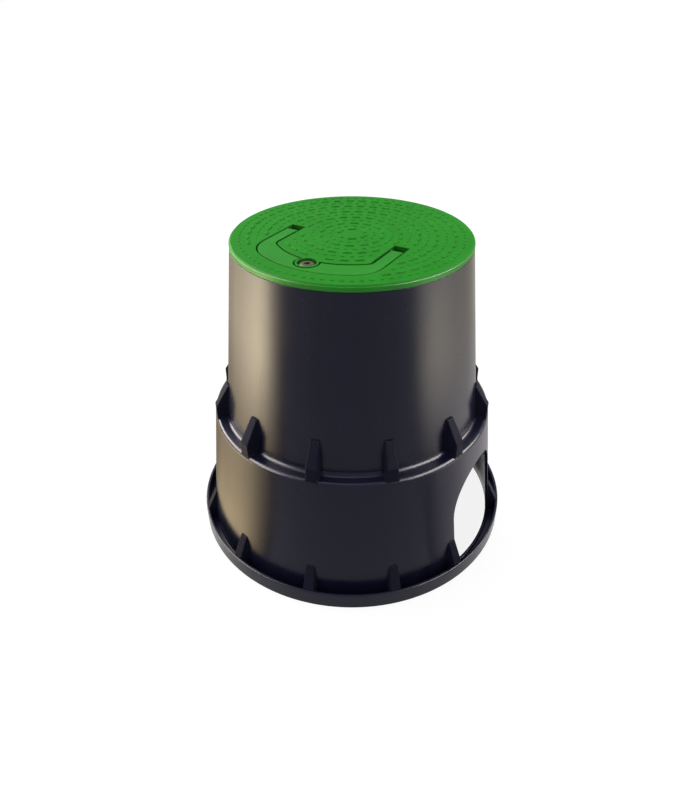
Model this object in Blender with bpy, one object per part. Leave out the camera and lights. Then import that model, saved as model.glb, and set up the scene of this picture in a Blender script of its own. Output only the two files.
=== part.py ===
"""Round irrigation valve box, with a lift-off lid, a folding handle and a bolt that turns a latch bar.

Metres, +Z up, origin at the bottom centre. The two pipe openings face +X and -X. The handle lies in
the lid with its front towards -Y, where the bolt is. The lid is closed and unlocked: the latch bar
points along +X, and a quarter turn brings it under the catch in the body's mouth.
"""

import math

import bmesh
import bpy
from mathutils import Matrix, Vector

# Whole model
TURNING_STEPS = 72
FILLET_STEPS = 3
SEAT_GAP = 0.0003

# Body walls, from the mouth down
MOUTH_RADIUS = 0.1101
BODY_HEIGHT = 0.304
WALL = 0.003
CONE_TAPER = 0.110
LEDGE_TOP = 0.1349
LEDGE_WIDTH = 0.0122
LEDGE_EDGE_ROUND = 0.004
LEDGE_FILLET = 0.0045
SKIRT_TAPER = 0.112
RIM_ROUND = 0.0008

# Catch that runs round the inside of the mouth
CATCH_WIDTH = 0.0095
CATCH_THICKNESS = 0.003
CATCH_DROP = 0.007

# Base flange and its lip
FLANGE_THICKNESS = 0.003
CHANNEL_WIDTH = 0.006
LIP_THICKNESS = 0.003
LIP_HEIGHT = 0.0165

# Arched pipe openings
ARCH_WIDTH = 0.092
ARCH_HEADROOM = 0.0239
ARCH_SILL_KERB = 0.002
ARCH_STEPS = 24

# Gussets on the ledge
GUSSET_COUNT = 12
GUSSET_WIDTH = 0.011
GUSSET_HEIGHT = 0.0345
GUSSET_TOP_DEPTH = 0.0018
GUSSET_FACE_HEIGHT = 0.013
GUSSET_ROUND = 0.0012
GUSSET_STEPS = 2
GUSSET_DRAFT = 0.029
GUSSET_SETBACK = 0.0006

# Gussets at the foot
FOOT_GUSSET_HEIGHT = 0.0385
FOOT_GUSSET_TOP_DEPTH = 0.0008
JAMB_CLEARANCE = 0.0008

# Lid plate and its hidden side
LID_THICKNESS = 0.0057
LID_PLATE = 0.004
LID_CHAMFER = 0.0017
SPIGOT_CLEARANCE = 0.0008
SPIGOT_THICKNESS = 0.0025
SPIGOT_FLOOR_CLEARANCE = 0.0005
RIB_COUNT = 12
RIB_THICKNESS = 0.0025
RIB_SETBACK = 0.0006
HUB_RADIUS = 0.016
HUB_SETBACK = 0.0003

# Handle strap, seen from above: its arms run along Y and its front follows the lid's rim
STRAP_THICKNESS = 0.007
STRAP_INNER_HALF_WIDTH = 0.0485
STRAP_ARM_WIDTH = 0.0105
STRAP_FRONT_WEB = 0.0036
STRAP_OUTER_ROUND = 0.028
STRAP_INNER_ROUND = 0.006
STRAP_TOP_DROP = 0.0003
STRAP_CORNER_STEPS = 6
STRAP_FRONT_STEPS = 16
PIVOT_Y = -0.0170
PIVOT_PIN_RADIUS = 0.0022
PIVOT_PIN_LENGTH = 0.003
PIVOT_SHOULDER = 0.0004
PIN_CLEARANCE = 0.0003

# Channel for the handle in the lid
CHANNEL_GAP = 0.0015
ARM_INNER_GAP = 0.0024
CHANNEL_FLOOR = 0.0025
CHANNEL_WALL = 0.0025
POCKET_LENGTH = 0.008
DRAIN_SETBACK = 0.0004
BEARING_CHEEK = 0.0025

# Bolt, washer, latch bar and nut
BOLT_INSET = 0.0040
BOLT_RADIUS = 0.004
BOLT_HEAD_RADIUS = 0.0070
BOLT_HEAD_HEIGHT = 0.0044
BOLT_SOCKET_WIDTH = 0.005
BOLT_SOCKET_DEPTH = 0.0026
BOLT_TIP_LENGTH = 0.002
BOLT_HEAD_DROP = 0.0008
BOLT_HEAD_ROUND = 0.0030
BOLT_TIP_ROUND = 0.0008
BORE_CLEARANCE = 0.0004
WASHER_RADIUS = 0.008
WASHER_THICKNESS = 0.0016
BOSS_WALL = 0.0017
BOSS_CATCH_SPACE = 0.0135
LATCH_THICKNESS = 0.004
LATCH_WIDTH = 0.016
LATCH_OVERLAP = 0.006
LATCH_CATCH_GAP = 0.0018
LATCH_TONGUE_ROUND = 0.003
NUT_WIDTH = 0.013
NUT_THICKNESS = 0.0065

# Sizes that follow from those above: body
LEDGE_CONE_RADIUS = MOUTH_RADIUS + (BODY_HEIGHT - LEDGE_TOP) * CONE_TAPER
LEDGE_RADIUS = LEDGE_CONE_RADIUS + LEDGE_WIDTH
SKIRT_FOOT_RADIUS = LEDGE_RADIUS + LEDGE_TOP * SKIRT_TAPER
LIP_INNER_RADIUS = SKIRT_FOOT_RADIUS + CHANNEL_WIDTH
LIP_ROUND = LIP_THICKNESS / 3
BASE_RADIUS = LIP_INNER_RADIUS + LIP_THICKNESS
CATCH_TOP = BODY_HEIGHT - CATCH_DROP
CATCH_BOTTOM = CATCH_TOP - CATCH_THICKNESS
CATCH_RADIUS = MOUTH_RADIUS - WALL - CATCH_WIDTH
UNDER_LEDGE = LEDGE_TOP - WALL
ARCH_SPRING_HEIGHT = UNDER_LEDGE - ARCH_HEADROOM - ARCH_WIDTH / 2
ARCH_SILL = FLANGE_THICKNESS + ARCH_SILL_KERB

# Sizes that follow: lid
LID_BOTTOM = BODY_HEIGHT + SEAT_GAP
LID_TOP = LID_BOTTOM + LID_THICKNESS
LID_PLATE_BOTTOM = LID_TOP - LID_PLATE
LID_PLATE_MIDDLE = LID_TOP - LID_PLATE / 2
SPIGOT_RADIUS = MOUTH_RADIUS - WALL - SPIGOT_CLEARANCE
SPIGOT_BOTTOM = CATCH_TOP + SPIGOT_FLOOR_CLEARANCE

# Sizes that follow: bolt, washer, latch bar and nut
BORE_RADIUS = BOLT_RADIUS + BORE_CLEARANCE
COUNTERBORE_RADIUS = WASHER_RADIUS + BORE_CLEARANCE
BOSS_RADIUS = COUNTERBORE_RADIUS + BOSS_WALL
BOLT_REACH = CATCH_RADIUS - BOSS_CATCH_SPACE - BOSS_RADIUS
HEAD_TOP = LID_TOP - BOLT_HEAD_DROP
HEAD_BOTTOM = HEAD_TOP - BOLT_HEAD_HEIGHT
WASHER_TOP = HEAD_BOTTOM - SEAT_GAP
WASHER_BOTTOM = WASHER_TOP - WASHER_THICKNESS
COUNTERBORE_FLOOR = WASHER_BOTTOM - SEAT_GAP
LATCH_TOP = CATCH_BOTTOM - LATCH_CATCH_GAP
LATCH_BOTTOM = LATCH_TOP - LATCH_THICKNESS
LATCH_REACH = CATCH_RADIUS + LATCH_OVERLAP - BOLT_REACH
BOSS_BOTTOM = LATCH_TOP + SEAT_GAP
NUT_TOP = LATCH_BOTTOM - SEAT_GAP
NUT_BOTTOM = NUT_TOP - NUT_THICKNESS
BOLT_BOTTOM = NUT_BOTTOM - BOLT_TIP_LENGTH
BOLT_AXIS = (0, -BOLT_REACH)

# Sizes that follow: handle and its channel
STRAP_TOP = LID_TOP - STRAP_TOP_DROP
STRAP_BOTTOM = STRAP_TOP - STRAP_THICKNESS
STRAP_OUTER_HALF_WIDTH = STRAP_INNER_HALF_WIDTH + STRAP_ARM_WIDTH
STRAP_INNER_REACH = BOLT_REACH - BOLT_INSET
STRAP_OUTER_REACH = BOLT_REACH + BOSS_RADIUS + CHANNEL_GAP + STRAP_FRONT_WEB
PIVOT_RADIUS = STRAP_THICKNESS / 2
PIVOT_Z = STRAP_TOP - PIVOT_RADIUS
POCKET_END_Y = PIVOT_Y + PIVOT_RADIUS + POCKET_LENGTH
CHANNEL_BOTTOM = STRAP_BOTTOM - SEAT_GAP
TRAY_BOTTOM = CHANNEL_BOTTOM - CHANNEL_FLOOR
BEARING_REACH = STRAP_OUTER_HALF_WIDTH + PIVOT_PIN_LENGTH + SEAT_GAP

# How far a tool body runs past the face that it cuts, and how deep a joined piece sinks into its wall
CUT_MARGIN = 0.002
ROOT = WALL / 2
LEDGE_ROOT = 0.8 * WALL


def cone_radius(height):
    """Outer radius of the upper wall at a height."""
    return MOUTH_RADIUS + (BODY_HEIGHT - height) * CONE_TAPER


def skirt_radius(height):
    """Outer radius of the skirt at a height."""
    return SKIRT_FOOT_RADIUS - height * SKIRT_TAPER


def fillet(before, corner, after, radius, steps):
    """Points of the arc that rounds one corner of an outline."""
    to_before = (before - corner).normalized()
    to_after = (after - corner).normalized()
    half_angle = to_before.angle(to_after) / 2
    start = corner + to_before * radius / math.tan(half_angle)
    centre = corner + (to_before + to_after).normalized() * radius / math.sin(half_angle)
    sweep = math.pi - 2 * half_angle
    if to_before.x * to_after.y - to_before.y * to_after.x > 0:
        sweep = -sweep
    arm = start - centre
    return [centre + Matrix.Rotation(sweep * step / steps, 2) @ arm for step in range(steps + 1)]


def rounded(corners, steps=FILLET_STEPS):
    """Closed outline through (x, y, radius) corners, each rounded by its radius."""
    points = [Vector(corner[:2]) for corner in corners]
    outline = []
    for index, (corner, (_, _, radius)) in enumerate(zip(points, corners)):
        if radius:
            before = points[index - 1]
            after = points[(index + 1) % len(points)]
            outline += fillet(before, corner, after, radius, steps)
        else:
            outline.append(corner)
    return outline


def circle(radius, centre=(0, 0), steps=24):
    """Outline of a full circle."""
    turns = [2 * math.pi * step / steps for step in range(steps)]
    return [Vector(centre) + radius * Vector((math.cos(turn), math.sin(turn))) for turn in turns]


def new_object(name, mesh_builder, material=None):
    """Object whose mesh is taken from a finished bmesh, with smooth faces and sharp creases."""
    bmesh.ops.recalc_face_normals(mesh_builder, faces=mesh_builder.faces)
    mesh = bpy.data.meshes.new(name)
    mesh_builder.to_mesh(mesh)
    mesh_builder.free()
    mesh.shade_smooth()
    mesh.set_sharp_from_angle(angle=math.radians(30))
    if material:
        mesh.materials.append(material)
    solid = bpy.data.objects.new(name, mesh)
    bpy.context.scene.collection.objects.link(solid)
    return solid


def revolve(name, profile, material=None, steps=TURNING_STEPS):
    """Solid turned about the Z axis from a closed (radius, height) profile."""
    builder = bmesh.new()
    points = [builder.verts.new((point.x, 0, point.y)) for point in profile]
    edges = [builder.edges.new((points[index - 1], point)) for index, point in enumerate(points)
             if point.co.x or points[index - 1].co.x]
    bmesh.ops.spin(builder, geom=points + edges, cent=(0, 0, 0), axis=(0, 0, 1),
                   angle=2 * math.pi, steps=steps, use_merge=True)
    bmesh.ops.remove_doubles(builder, verts=builder.verts, dist=1e-6)
    return new_object(name, builder, material)


def prism_mesh(builder, outline, bottom, top, matrix=None):
    """Adds a prism on an outline to a bmesh, and returns its vertices."""
    base = [builder.verts.new((point.x, point.y, bottom)) for point in outline]
    face = builder.faces.new(base)
    raised = bmesh.ops.extrude_face_region(builder, geom=[face])["geom"]
    lifted = [item for item in raised if isinstance(item, bmesh.types.BMVert)]
    bmesh.ops.translate(builder, verts=lifted, vec=(0, 0, top - bottom))
    if matrix:
        bmesh.ops.transform(builder, matrix=matrix, verts=base + lifted)
    return base + lifted


def prism(name, outline, bottom, top, material=None):
    """Upright prism on an outline in the XY plane."""
    builder = bmesh.new()
    prism_mesh(builder, outline, bottom, top)
    return new_object(name, builder, material)


def boolean(target, tool, operation):
    """Joins, cuts or intersects a solid with a tool body, which is then only a guide."""
    modifier = target.modifiers.new(tool.name, "BOOLEAN")
    modifier.object = tool
    modifier.operation = operation
    modifier.solver = "EXACT"
    tool.hide_render = True
    tool.display_type = "WIRE"


def place(solid, origin, parent=None):
    """Moves the origin of an object to a point of the world, and parents the object."""
    solid.data.transform(Matrix.Translation(-Vector(origin)))
    solid.location = Vector(origin)
    if parent:
        solid.parent = parent
        solid.location -= parent.matrix_world.translation
    bpy.context.view_layer.update()


def make_material(name, colour, roughness, metallic=0.0):
    """Principled material."""
    material = bpy.data.materials.new(name)
    material.use_nodes = True
    shader = material.node_tree.nodes["Principled BSDF"]
    shader.inputs["Base Color"].default_value = (*colour, 1)
    shader.inputs["Roughness"].default_value = roughness
    shader.inputs["Metallic"].default_value = metallic
    return material


def body_profile():
    """Section of the body's wall: down its outside, round the flange, and up its inside."""
    return rounded([
        (MOUTH_RADIUS, BODY_HEIGHT, RIM_ROUND),
        (LEDGE_CONE_RADIUS, LEDGE_TOP, LEDGE_FILLET),
        (LEDGE_RADIUS, LEDGE_TOP, LEDGE_EDGE_ROUND),
        (skirt_radius(FLANGE_THICKNESS), FLANGE_THICKNESS, LIP_ROUND),
        (LIP_INNER_RADIUS, FLANGE_THICKNESS, LIP_ROUND),
        (LIP_INNER_RADIUS, LIP_HEIGHT, LIP_ROUND),
        (BASE_RADIUS, LIP_HEIGHT, LIP_ROUND),
        (BASE_RADIUS, 0, 0),
        (SKIRT_FOOT_RADIUS - WALL, 0, 0),
        (skirt_radius(UNDER_LEDGE) - WALL, UNDER_LEDGE, LIP_ROUND),
        (cone_radius(UNDER_LEDGE) - WALL, UNDER_LEDGE, LEDGE_FILLET),
        (cone_radius(CATCH_BOTTOM) - WALL, CATCH_BOTTOM, 0),
        (CATCH_RADIUS, CATCH_BOTTOM, 0),
        (CATCH_RADIUS, CATCH_TOP, 0),
        (cone_radius(CATCH_TOP) - WALL, CATCH_TOP, 0),
        (MOUTH_RADIUS - WALL, BODY_HEIGHT, 0),
    ])


def ledge_gusset_edge():
    """Outer edge of a ledge gusset, from its foot up: upright, then sloping back to the upper wall."""
    foot = LEDGE_TOP - LEDGE_ROOT
    face_radius = LEDGE_RADIUS - GUSSET_SETBACK
    top = LEDGE_TOP + GUSSET_HEIGHT
    return rounded([
        (face_radius, foot, 0),
        (face_radius, LEDGE_TOP + GUSSET_FACE_HEIGHT, GUSSET_ROUND),
        (cone_radius(top) + GUSSET_TOP_DEPTH, top, GUSSET_ROUND / 2),
        (cone_radius(top), top, 0),
    ], GUSSET_STEPS)[:-1]


def foot_gusset_edge():
    """Outer edge of a foot gusset, from inside the flange up the lip and then back to the skirt."""
    foot = FLANGE_THICKNESS / 2
    lip_middle = BASE_RADIUS - LIP_THICKNESS / 2
    return rounded([
        (lip_middle, foot, 0),
        (lip_middle, LIP_HEIGHT - LIP_ROUND / 2, 0),
        (skirt_radius(FOOT_GUSSET_HEIGHT) + FOOT_GUSSET_TOP_DEPTH, FOOT_GUSSET_HEIGHT, GUSSET_ROUND / 2),
        (skirt_radius(FOOT_GUSSET_HEIGHT), FOOT_GUSSET_HEIGHT, 0),
    ], GUSSET_STEPS)[:-1]


def gusset_plan(root_radius, face_radius, half_width):
    """Gusset seen from above at one height: square in the wall and rounded at its outer corners."""
    return rounded([
        (root_radius, -half_width, 0),
        (face_radius, -half_width, GUSSET_ROUND),
        (face_radius, half_width, GUSSET_ROUND),
        (root_radius, half_width, 0),
    ], GUSSET_STEPS)


def add_gusset(builder, outer_edge, wall_radius, azimuth):
    """Adds one gusset to a bmesh: a stack of plans that get narrower upwards to a rounded crown."""
    turn = Matrix.Rotation(azimuth, 4, "Z")
    foot = outer_edge[0].y
    top = outer_edge[-1].y
    rings = []
    for radius, height in outer_edge:
        rise = max(height - (top - GUSSET_ROUND), 0)
        crown = GUSSET_ROUND - math.sqrt(max(GUSSET_ROUND ** 2 - rise ** 2, 0))
        half_width = GUSSET_WIDTH / 2 - (height - foot) * GUSSET_DRAFT - crown
        plan = gusset_plan(wall_radius(height) - ROOT, radius, half_width)
        rings.append([builder.verts.new(turn @ Vector((point.x, point.y, height))) for point in plan])
    for lower, upper in zip(rings, rings[1:]):
        for index in range(len(lower)):
            builder.faces.new((lower[index - 1], lower[index], upper[index], upper[index - 1]))
    builder.faces.new(rings[0])
    builder.faces.new(rings[-1])


def gusset_ring(name, outer_edge, wall_radius, azimuths):
    """Gussets of one kind, as one tool body."""
    builder = bmesh.new()
    for azimuth in azimuths:
        add_gusset(builder, outer_edge, wall_radius, azimuth)
    return new_object(name, builder)


def arch_outline():
    """Outline of a pipe opening in the (Y, Z) plane: upright sides and a half-round head."""
    radius = ARCH_WIDTH / 2
    outline = [Vector((-radius, ARCH_SILL)), Vector((radius, ARCH_SILL))]
    for step in range(ARCH_STEPS + 1):
        turn = math.pi * step / ARCH_STEPS
        outline.append(Vector((radius * math.cos(turn), ARCH_SPRING_HEIGHT + radius * math.sin(turn))))
    return outline


def arch_cutter():
    """Tool for both pipe openings, which stops inside the flange's channel and so spares the lip."""
    builder = bmesh.new()
    along_x = Matrix.Rotation(math.pi / 2, 4, "Z") @ Matrix.Rotation(math.pi / 2, 4, "X")
    prism_mesh(builder, arch_outline(), -BASE_RADIUS, BASE_RADIUS, along_x)
    cutter = new_object("arch_cutter", builder)
    reach = circle(SKIRT_FOOT_RADIUS + CHANNEL_WIDTH / 2, steps=TURNING_STEPS)
    boolean(cutter, prism("arch_reach", reach, -CUT_MARGIN, LEDGE_TOP), "INTERSECT")
    return cutter


def foot_gusset_azimuths():
    """Foot gussets stand below the ledge's. Those that would stand in an opening move to its jambs."""
    jamb = math.asin((ARCH_WIDTH / 2 + GUSSET_WIDTH / 2 + JAMB_CLEARANCE) / SKIRT_FOOT_RADIUS)
    azimuths = []
    for azimuth in ledge_gusset_azimuths():
        from_opening = math.remainder(azimuth, math.pi)
        if abs(from_opening) < jamb:
            azimuth += math.copysign(jamb, from_opening) - from_opening
        azimuths.append(azimuth)
    return azimuths


def ledge_gusset_azimuths():
    """Azimuths of the gussets, evenly spaced and clear of both axes."""
    pitch = 2 * math.pi / GUSSET_COUNT
    return [pitch * (index + 0.5) for index in range(GUSSET_COUNT)]


def build_body(material):
    """One-piece moulded body."""
    body = revolve("body", body_profile(), material)
    ledge_gussets = gusset_ring("ledge_gussets", ledge_gusset_edge(), cone_radius,
                                ledge_gusset_azimuths())
    boolean(body, ledge_gussets, "UNION")
    foot_gussets = gusset_ring("foot_gussets", foot_gusset_edge(), skirt_radius,
                               foot_gusset_azimuths())
    boolean(body, foot_gussets, "UNION")
    boolean(body, arch_cutter(), "DIFFERENCE")
    return body


def strap_curve(half_width, reach, corner_round):
    """Curve of the strap's front, from +X to -X: an arc about the lid's axis with a corner at each end."""
    corner = Vector((half_width - corner_round, 0))
    corner.y = -math.sqrt((reach - corner_round) ** 2 - corner.x ** 2)
    corner_turn = math.atan2(corner.y, corner.x)
    right = []
    for step in range(STRAP_CORNER_STEPS):
        turn = corner_turn * step / STRAP_CORNER_STEPS
        right.append(corner + corner_round * Vector((math.cos(turn), math.sin(turn))))
    front = []
    for step in range(STRAP_FRONT_STEPS + 1):
        turn = corner_turn - (math.pi + 2 * corner_turn) * step / STRAP_FRONT_STEPS
        front.append(reach * Vector((math.cos(turn), math.sin(turn))))
    left = [Vector((-point.x, point.y)) for point in reversed(right)]
    return right + front + left


def strap_outline(outward=0.0, inward=0.0, arm_end=PIVOT_Y, arm_inward=None):
    """The strap seen from above, grown outwards and inwards by two gaps, with arms up to a Y place."""
    outer_x = STRAP_OUTER_HALF_WIDTH + outward
    inner_x = STRAP_INNER_HALF_WIDTH - (inward if arm_inward is None else arm_inward)
    outer = strap_curve(outer_x, STRAP_OUTER_REACH + outward, STRAP_OUTER_ROUND + outward)
    inner = strap_curve(inner_x, STRAP_INNER_REACH - inward, STRAP_INNER_ROUND - inward)
    right_end = [Vector((inner_x, arm_end)), Vector((outer_x, arm_end))]
    left_end = [Vector((-outer_x, arm_end)), Vector((-inner_x, arm_end))]
    return right_end + outer + left_end + inner[::-1]


def lid_profile():
    """Section of the lid: plate, chamfered rim and the locating ring below it."""
    return [Vector(point) for point in (
        (0, LID_TOP),
        (MOUTH_RADIUS - LID_CHAMFER, LID_TOP),
        (MOUTH_RADIUS, LID_TOP - LID_CHAMFER),
        (MOUTH_RADIUS, LID_BOTTOM),
        (SPIGOT_RADIUS, LID_BOTTOM),
        (SPIGOT_RADIUS, SPIGOT_BOTTOM),
        (SPIGOT_RADIUS - SPIGOT_THICKNESS, SPIGOT_BOTTOM),
        (SPIGOT_RADIUS - SPIGOT_THICKNESS, LID_PLATE_BOTTOM),
        (0, LID_PLATE_BOTTOM),
    )]


def lid_ribs():
    """Ribs that run from the hub to the locating ring under the plate."""
    builder = bmesh.new()
    near = HUB_RADIUS - RIB_THICKNESS
    far = SPIGOT_RADIUS - SPIGOT_THICKNESS / 2
    half = RIB_THICKNESS / 2
    outline = [Vector(corner) for corner in ((near, -half), (far, -half), (far, half), (near, half))]
    for index in range(RIB_COUNT):
        turn = Matrix.Rotation(2 * math.pi * index / RIB_COUNT, 4, "Z")
        prism_mesh(builder, outline, SPIGOT_BOTTOM + RIB_SETBACK, LID_PLATE_MIDDLE, turn)
    return new_object("lid_ribs", builder)


def bearing_block(side):
    """Block under the plate that holds one pivot bearing."""
    near = STRAP_INNER_HALF_WIDTH
    far = BEARING_REACH + BEARING_CHEEK
    half = PIVOT_PIN_RADIUS + BEARING_CHEEK
    corners = [(side * near, PIVOT_Y - half), (side * far, PIVOT_Y - half),
               (side * far, PIVOT_Y + half), (side * near, PIVOT_Y + half)]
    outline = [Vector(corner) for corner in corners]
    return prism("bearing_block", outline, TRAY_BOTTOM, LID_PLATE_MIDDLE)


def pivot_cylinder(name, side, near, far, radius):
    """Cylinder on the handle's pivot axis, between two distances from the middle of the lid."""
    builder = bmesh.new()
    along_x = Matrix.Translation((0, PIVOT_Y, PIVOT_Z)) @ Matrix.Rotation(side * math.pi / 2, 4, "Y")
    prism_mesh(builder, circle(radius), near, far, along_x)
    return new_object(name, builder)


def channel_cutter():
    """Tool for the handle's channel, which spares the bolt's boss."""
    outline = strap_outline(CHANNEL_GAP, CHANNEL_GAP, POCKET_END_Y, ARM_INNER_GAP)
    cutter = prism("channel_cutter", outline, CHANNEL_BOTTOM, LID_TOP + CUT_MARGIN)
    boss = circle(BOSS_RADIUS, BOLT_AXIS)
    keep = prism("boss_keep", boss, CHANNEL_BOTTOM - CUT_MARGIN, LID_TOP + 2 * CUT_MARGIN)
    boolean(cutter, keep, "DIFFERENCE")
    return cutter


def drain_slot(side):
    """Tool for the opening behind the end of one handle arm, right through the channel's floor."""
    near = STRAP_INNER_HALF_WIDTH - ARM_INNER_GAP + DRAIN_SETBACK
    far = STRAP_OUTER_HALF_WIDTH + CHANNEL_GAP - DRAIN_SETBACK
    arm_end = PIVOT_Y + PIVOT_RADIUS
    slot_end = POCKET_END_Y - DRAIN_SETBACK
    corners = [(side * near, arm_end), (side * far, arm_end),
               (side * far, slot_end), (side * near, slot_end)]
    outline = [Vector(corner) for corner in corners]
    return prism("drain_slot", outline, SPIGOT_BOTTOM - CUT_MARGIN, LID_TOP + CUT_MARGIN)


def build_lid(material):
    """One-piece moulded lid."""
    lid = revolve("lid", lid_profile(), material)
    boolean(lid, lid_ribs(), "UNION")
    hub = prism("lid_hub", circle(HUB_RADIUS, steps=TURNING_STEPS // 2),
                SPIGOT_BOTTOM + HUB_SETBACK, LID_PLATE_MIDDLE)
    boolean(lid, hub, "UNION")
    tray = prism("channel_tray",
                 strap_outline(CHANNEL_GAP + CHANNEL_WALL, CHANNEL_GAP + CHANNEL_WALL,
                               POCKET_END_Y + CHANNEL_WALL, ARM_INNER_GAP + CHANNEL_WALL),
                 TRAY_BOTTOM, LID_PLATE_MIDDLE)
    boolean(lid, tray, "UNION")
    boss = prism("bolt_boss", circle(BOSS_RADIUS, BOLT_AXIS), BOSS_BOTTOM, LID_PLATE_MIDDLE)
    boolean(lid, boss, "UNION")
    for side in (-1, 1):
        boolean(lid, bearing_block(side), "UNION")
    boolean(lid, channel_cutter(), "DIFFERENCE")
    for side in (-1, 1):
        boolean(lid, drain_slot(side), "DIFFERENCE")
    for side in (-1, 1):
        bearing = pivot_cylinder("bearing_bore", side, STRAP_OUTER_HALF_WIDTH, BEARING_REACH,
                                 PIVOT_PIN_RADIUS + PIN_CLEARANCE)
        boolean(lid, bearing, "DIFFERENCE")
    counterbore = prism("counterbore", circle(COUNTERBORE_RADIUS, BOLT_AXIS),
                        COUNTERBORE_FLOOR, LID_TOP + CUT_MARGIN)
    boolean(lid, counterbore, "DIFFERENCE")
    bore = prism("bolt_bore", circle(BORE_RADIUS, BOLT_AXIS), BOSS_BOTTOM - CUT_MARGIN,
                 LID_TOP + 2 * CUT_MARGIN)
    boolean(lid, bore, "DIFFERENCE")
    place(lid, (0, 0, LID_BOTTOM))
    return lid


def build_handle(material, lid):
    """Folding handle: strap, round arm ends with low shoulders, and a pivot pin outside each arm."""
    handle = prism("handle", strap_outline(), STRAP_BOTTOM, STRAP_TOP, material)
    for side in (-1, 1):
        arm_end = pivot_cylinder("arm_end", side, STRAP_INNER_HALF_WIDTH - PIVOT_SHOULDER,
                                 STRAP_OUTER_HALF_WIDTH + PIVOT_SHOULDER, PIVOT_RADIUS)
        boolean(handle, arm_end, "UNION")
        pin = pivot_cylinder("pivot_pin", side, STRAP_OUTER_HALF_WIDTH - CUT_MARGIN,
                             STRAP_OUTER_HALF_WIDTH + PIVOT_PIN_LENGTH, PIVOT_PIN_RADIUS)
        boolean(handle, pin, "UNION")
    notch = prism("boss_notch", circle(BOSS_RADIUS + CHANNEL_GAP, BOLT_AXIS),
                  STRAP_BOTTOM - CUT_MARGIN, STRAP_TOP + CUT_MARGIN)
    boolean(handle, notch, "DIFFERENCE")
    place(handle, (0, PIVOT_Y, PIVOT_Z), lid)
    return handle


def regular_outline(width, sides, centre):
    """Outline of a regular polygon, given its width across flats."""
    return circle(width / 2 / math.cos(math.pi / sides), centre, sides)


def bolt_profile():
    """Section of the bolt: domed button head and plain shank."""
    return rounded([
        (0, BOLT_BOTTOM, 0),
        (BOLT_RADIUS, BOLT_BOTTOM, BOLT_TIP_ROUND),
        (BOLT_RADIUS, HEAD_BOTTOM, 0),
        (BOLT_HEAD_RADIUS, HEAD_BOTTOM, 0),
        (BOLT_HEAD_RADIUS, HEAD_TOP, BOLT_HEAD_ROUND),
        (0, HEAD_TOP, 0),
    ])


def bored_plate(name, outline, bottom, top, material):
    """Flat piece on the bolt's axis, with a hole for the shank."""
    piece = prism(name, outline, bottom, top, material)
    hole = prism(name + "_hole", circle(BORE_RADIUS, BOLT_AXIS),
                 bottom - CUT_MARGIN, top + CUT_MARGIN)
    boolean(piece, hole, "DIFFERENCE")
    return piece


def latch_outline():
    """Latch bar seen from above, unlocked: one round end at the bolt, and a tongue along +X."""
    half = LATCH_WIDTH / 2
    heel_round = half - SEAT_GAP
    return rounded([
        (-half, -BOLT_REACH - half, heel_round),
        (LATCH_REACH, -BOLT_REACH - half, LATCH_TONGUE_ROUND),
        (LATCH_REACH, -BOLT_REACH + half, LATCH_TONGUE_ROUND),
        (-half, -BOLT_REACH + half, heel_round),
    ], steps=6)


def build_lock(material, lid):
    """Bolt, washer, latch bar and nut, which turn together about the bolt's axis."""
    bolt = revolve("lock_bolt", bolt_profile(), material, steps=24)
    bolt.data.transform(Matrix.Translation((0, -BOLT_REACH, 0)))
    socket = prism("bolt_socket", regular_outline(BOLT_SOCKET_WIDTH, 6, BOLT_AXIS),
                   HEAD_TOP - BOLT_SOCKET_DEPTH, HEAD_TOP + CUT_MARGIN)
    boolean(bolt, socket, "DIFFERENCE")
    washer = bored_plate("lock_washer", circle(WASHER_RADIUS, BOLT_AXIS),
                         WASHER_BOTTOM, WASHER_TOP, material)
    latch = bored_plate("latch_bar", latch_outline(), LATCH_BOTTOM, LATCH_TOP, material)
    nut = bored_plate("lock_nut", regular_outline(NUT_WIDTH, 6, BOLT_AXIS),
                      NUT_BOTTOM, NUT_TOP, material)
    turning_axis = bpy.data.objects.new("lock_axis", None)
    bpy.context.scene.collection.objects.link(turning_axis)
    turning_axis.parent = lid
    turning_axis.location = Vector((0, -BOLT_REACH, LATCH_TOP)) - lid.location
    bpy.context.view_layer.update()
    for piece in (bolt, washer, latch, nut):
        place(piece, (0, -BOLT_REACH, LATCH_TOP), turning_axis)


def main():
    """Clears the scene and builds the body, the lid, the handle and the lock."""
    for leftover in list(bpy.data.objects):
        bpy.data.objects.remove(leftover)
    black = make_material("black_polyethylene", (0.014, 0.015, 0.022), 0.32)
    green = make_material("green_polypropylene", (0.03, 0.30, 0.04), 0.45)
    steel = make_material("zinc_plated_steel", (0.42, 0.36, 0.28), 0.38, 1.0)

    build_body(black)
    lid = build_lid(green)
    build_handle(green, lid)
    build_lock(steel, lid)


if __name__ == "__main__":
    main()
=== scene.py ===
"""Looks of a round irrigation valve box: ribbed black body, green lid with a folding strap, and its lock.

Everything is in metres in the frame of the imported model: +Z up, the pipe openings towards +X and -X, and
the strap's front with the lid's bolt towards -Y.
"""

import logging
import math
from collections.abc import Callable, Sequence
from dataclasses import dataclass
from enum import Enum

import bmesh
import bpy
from mathutils import Matrix, Vector


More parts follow.
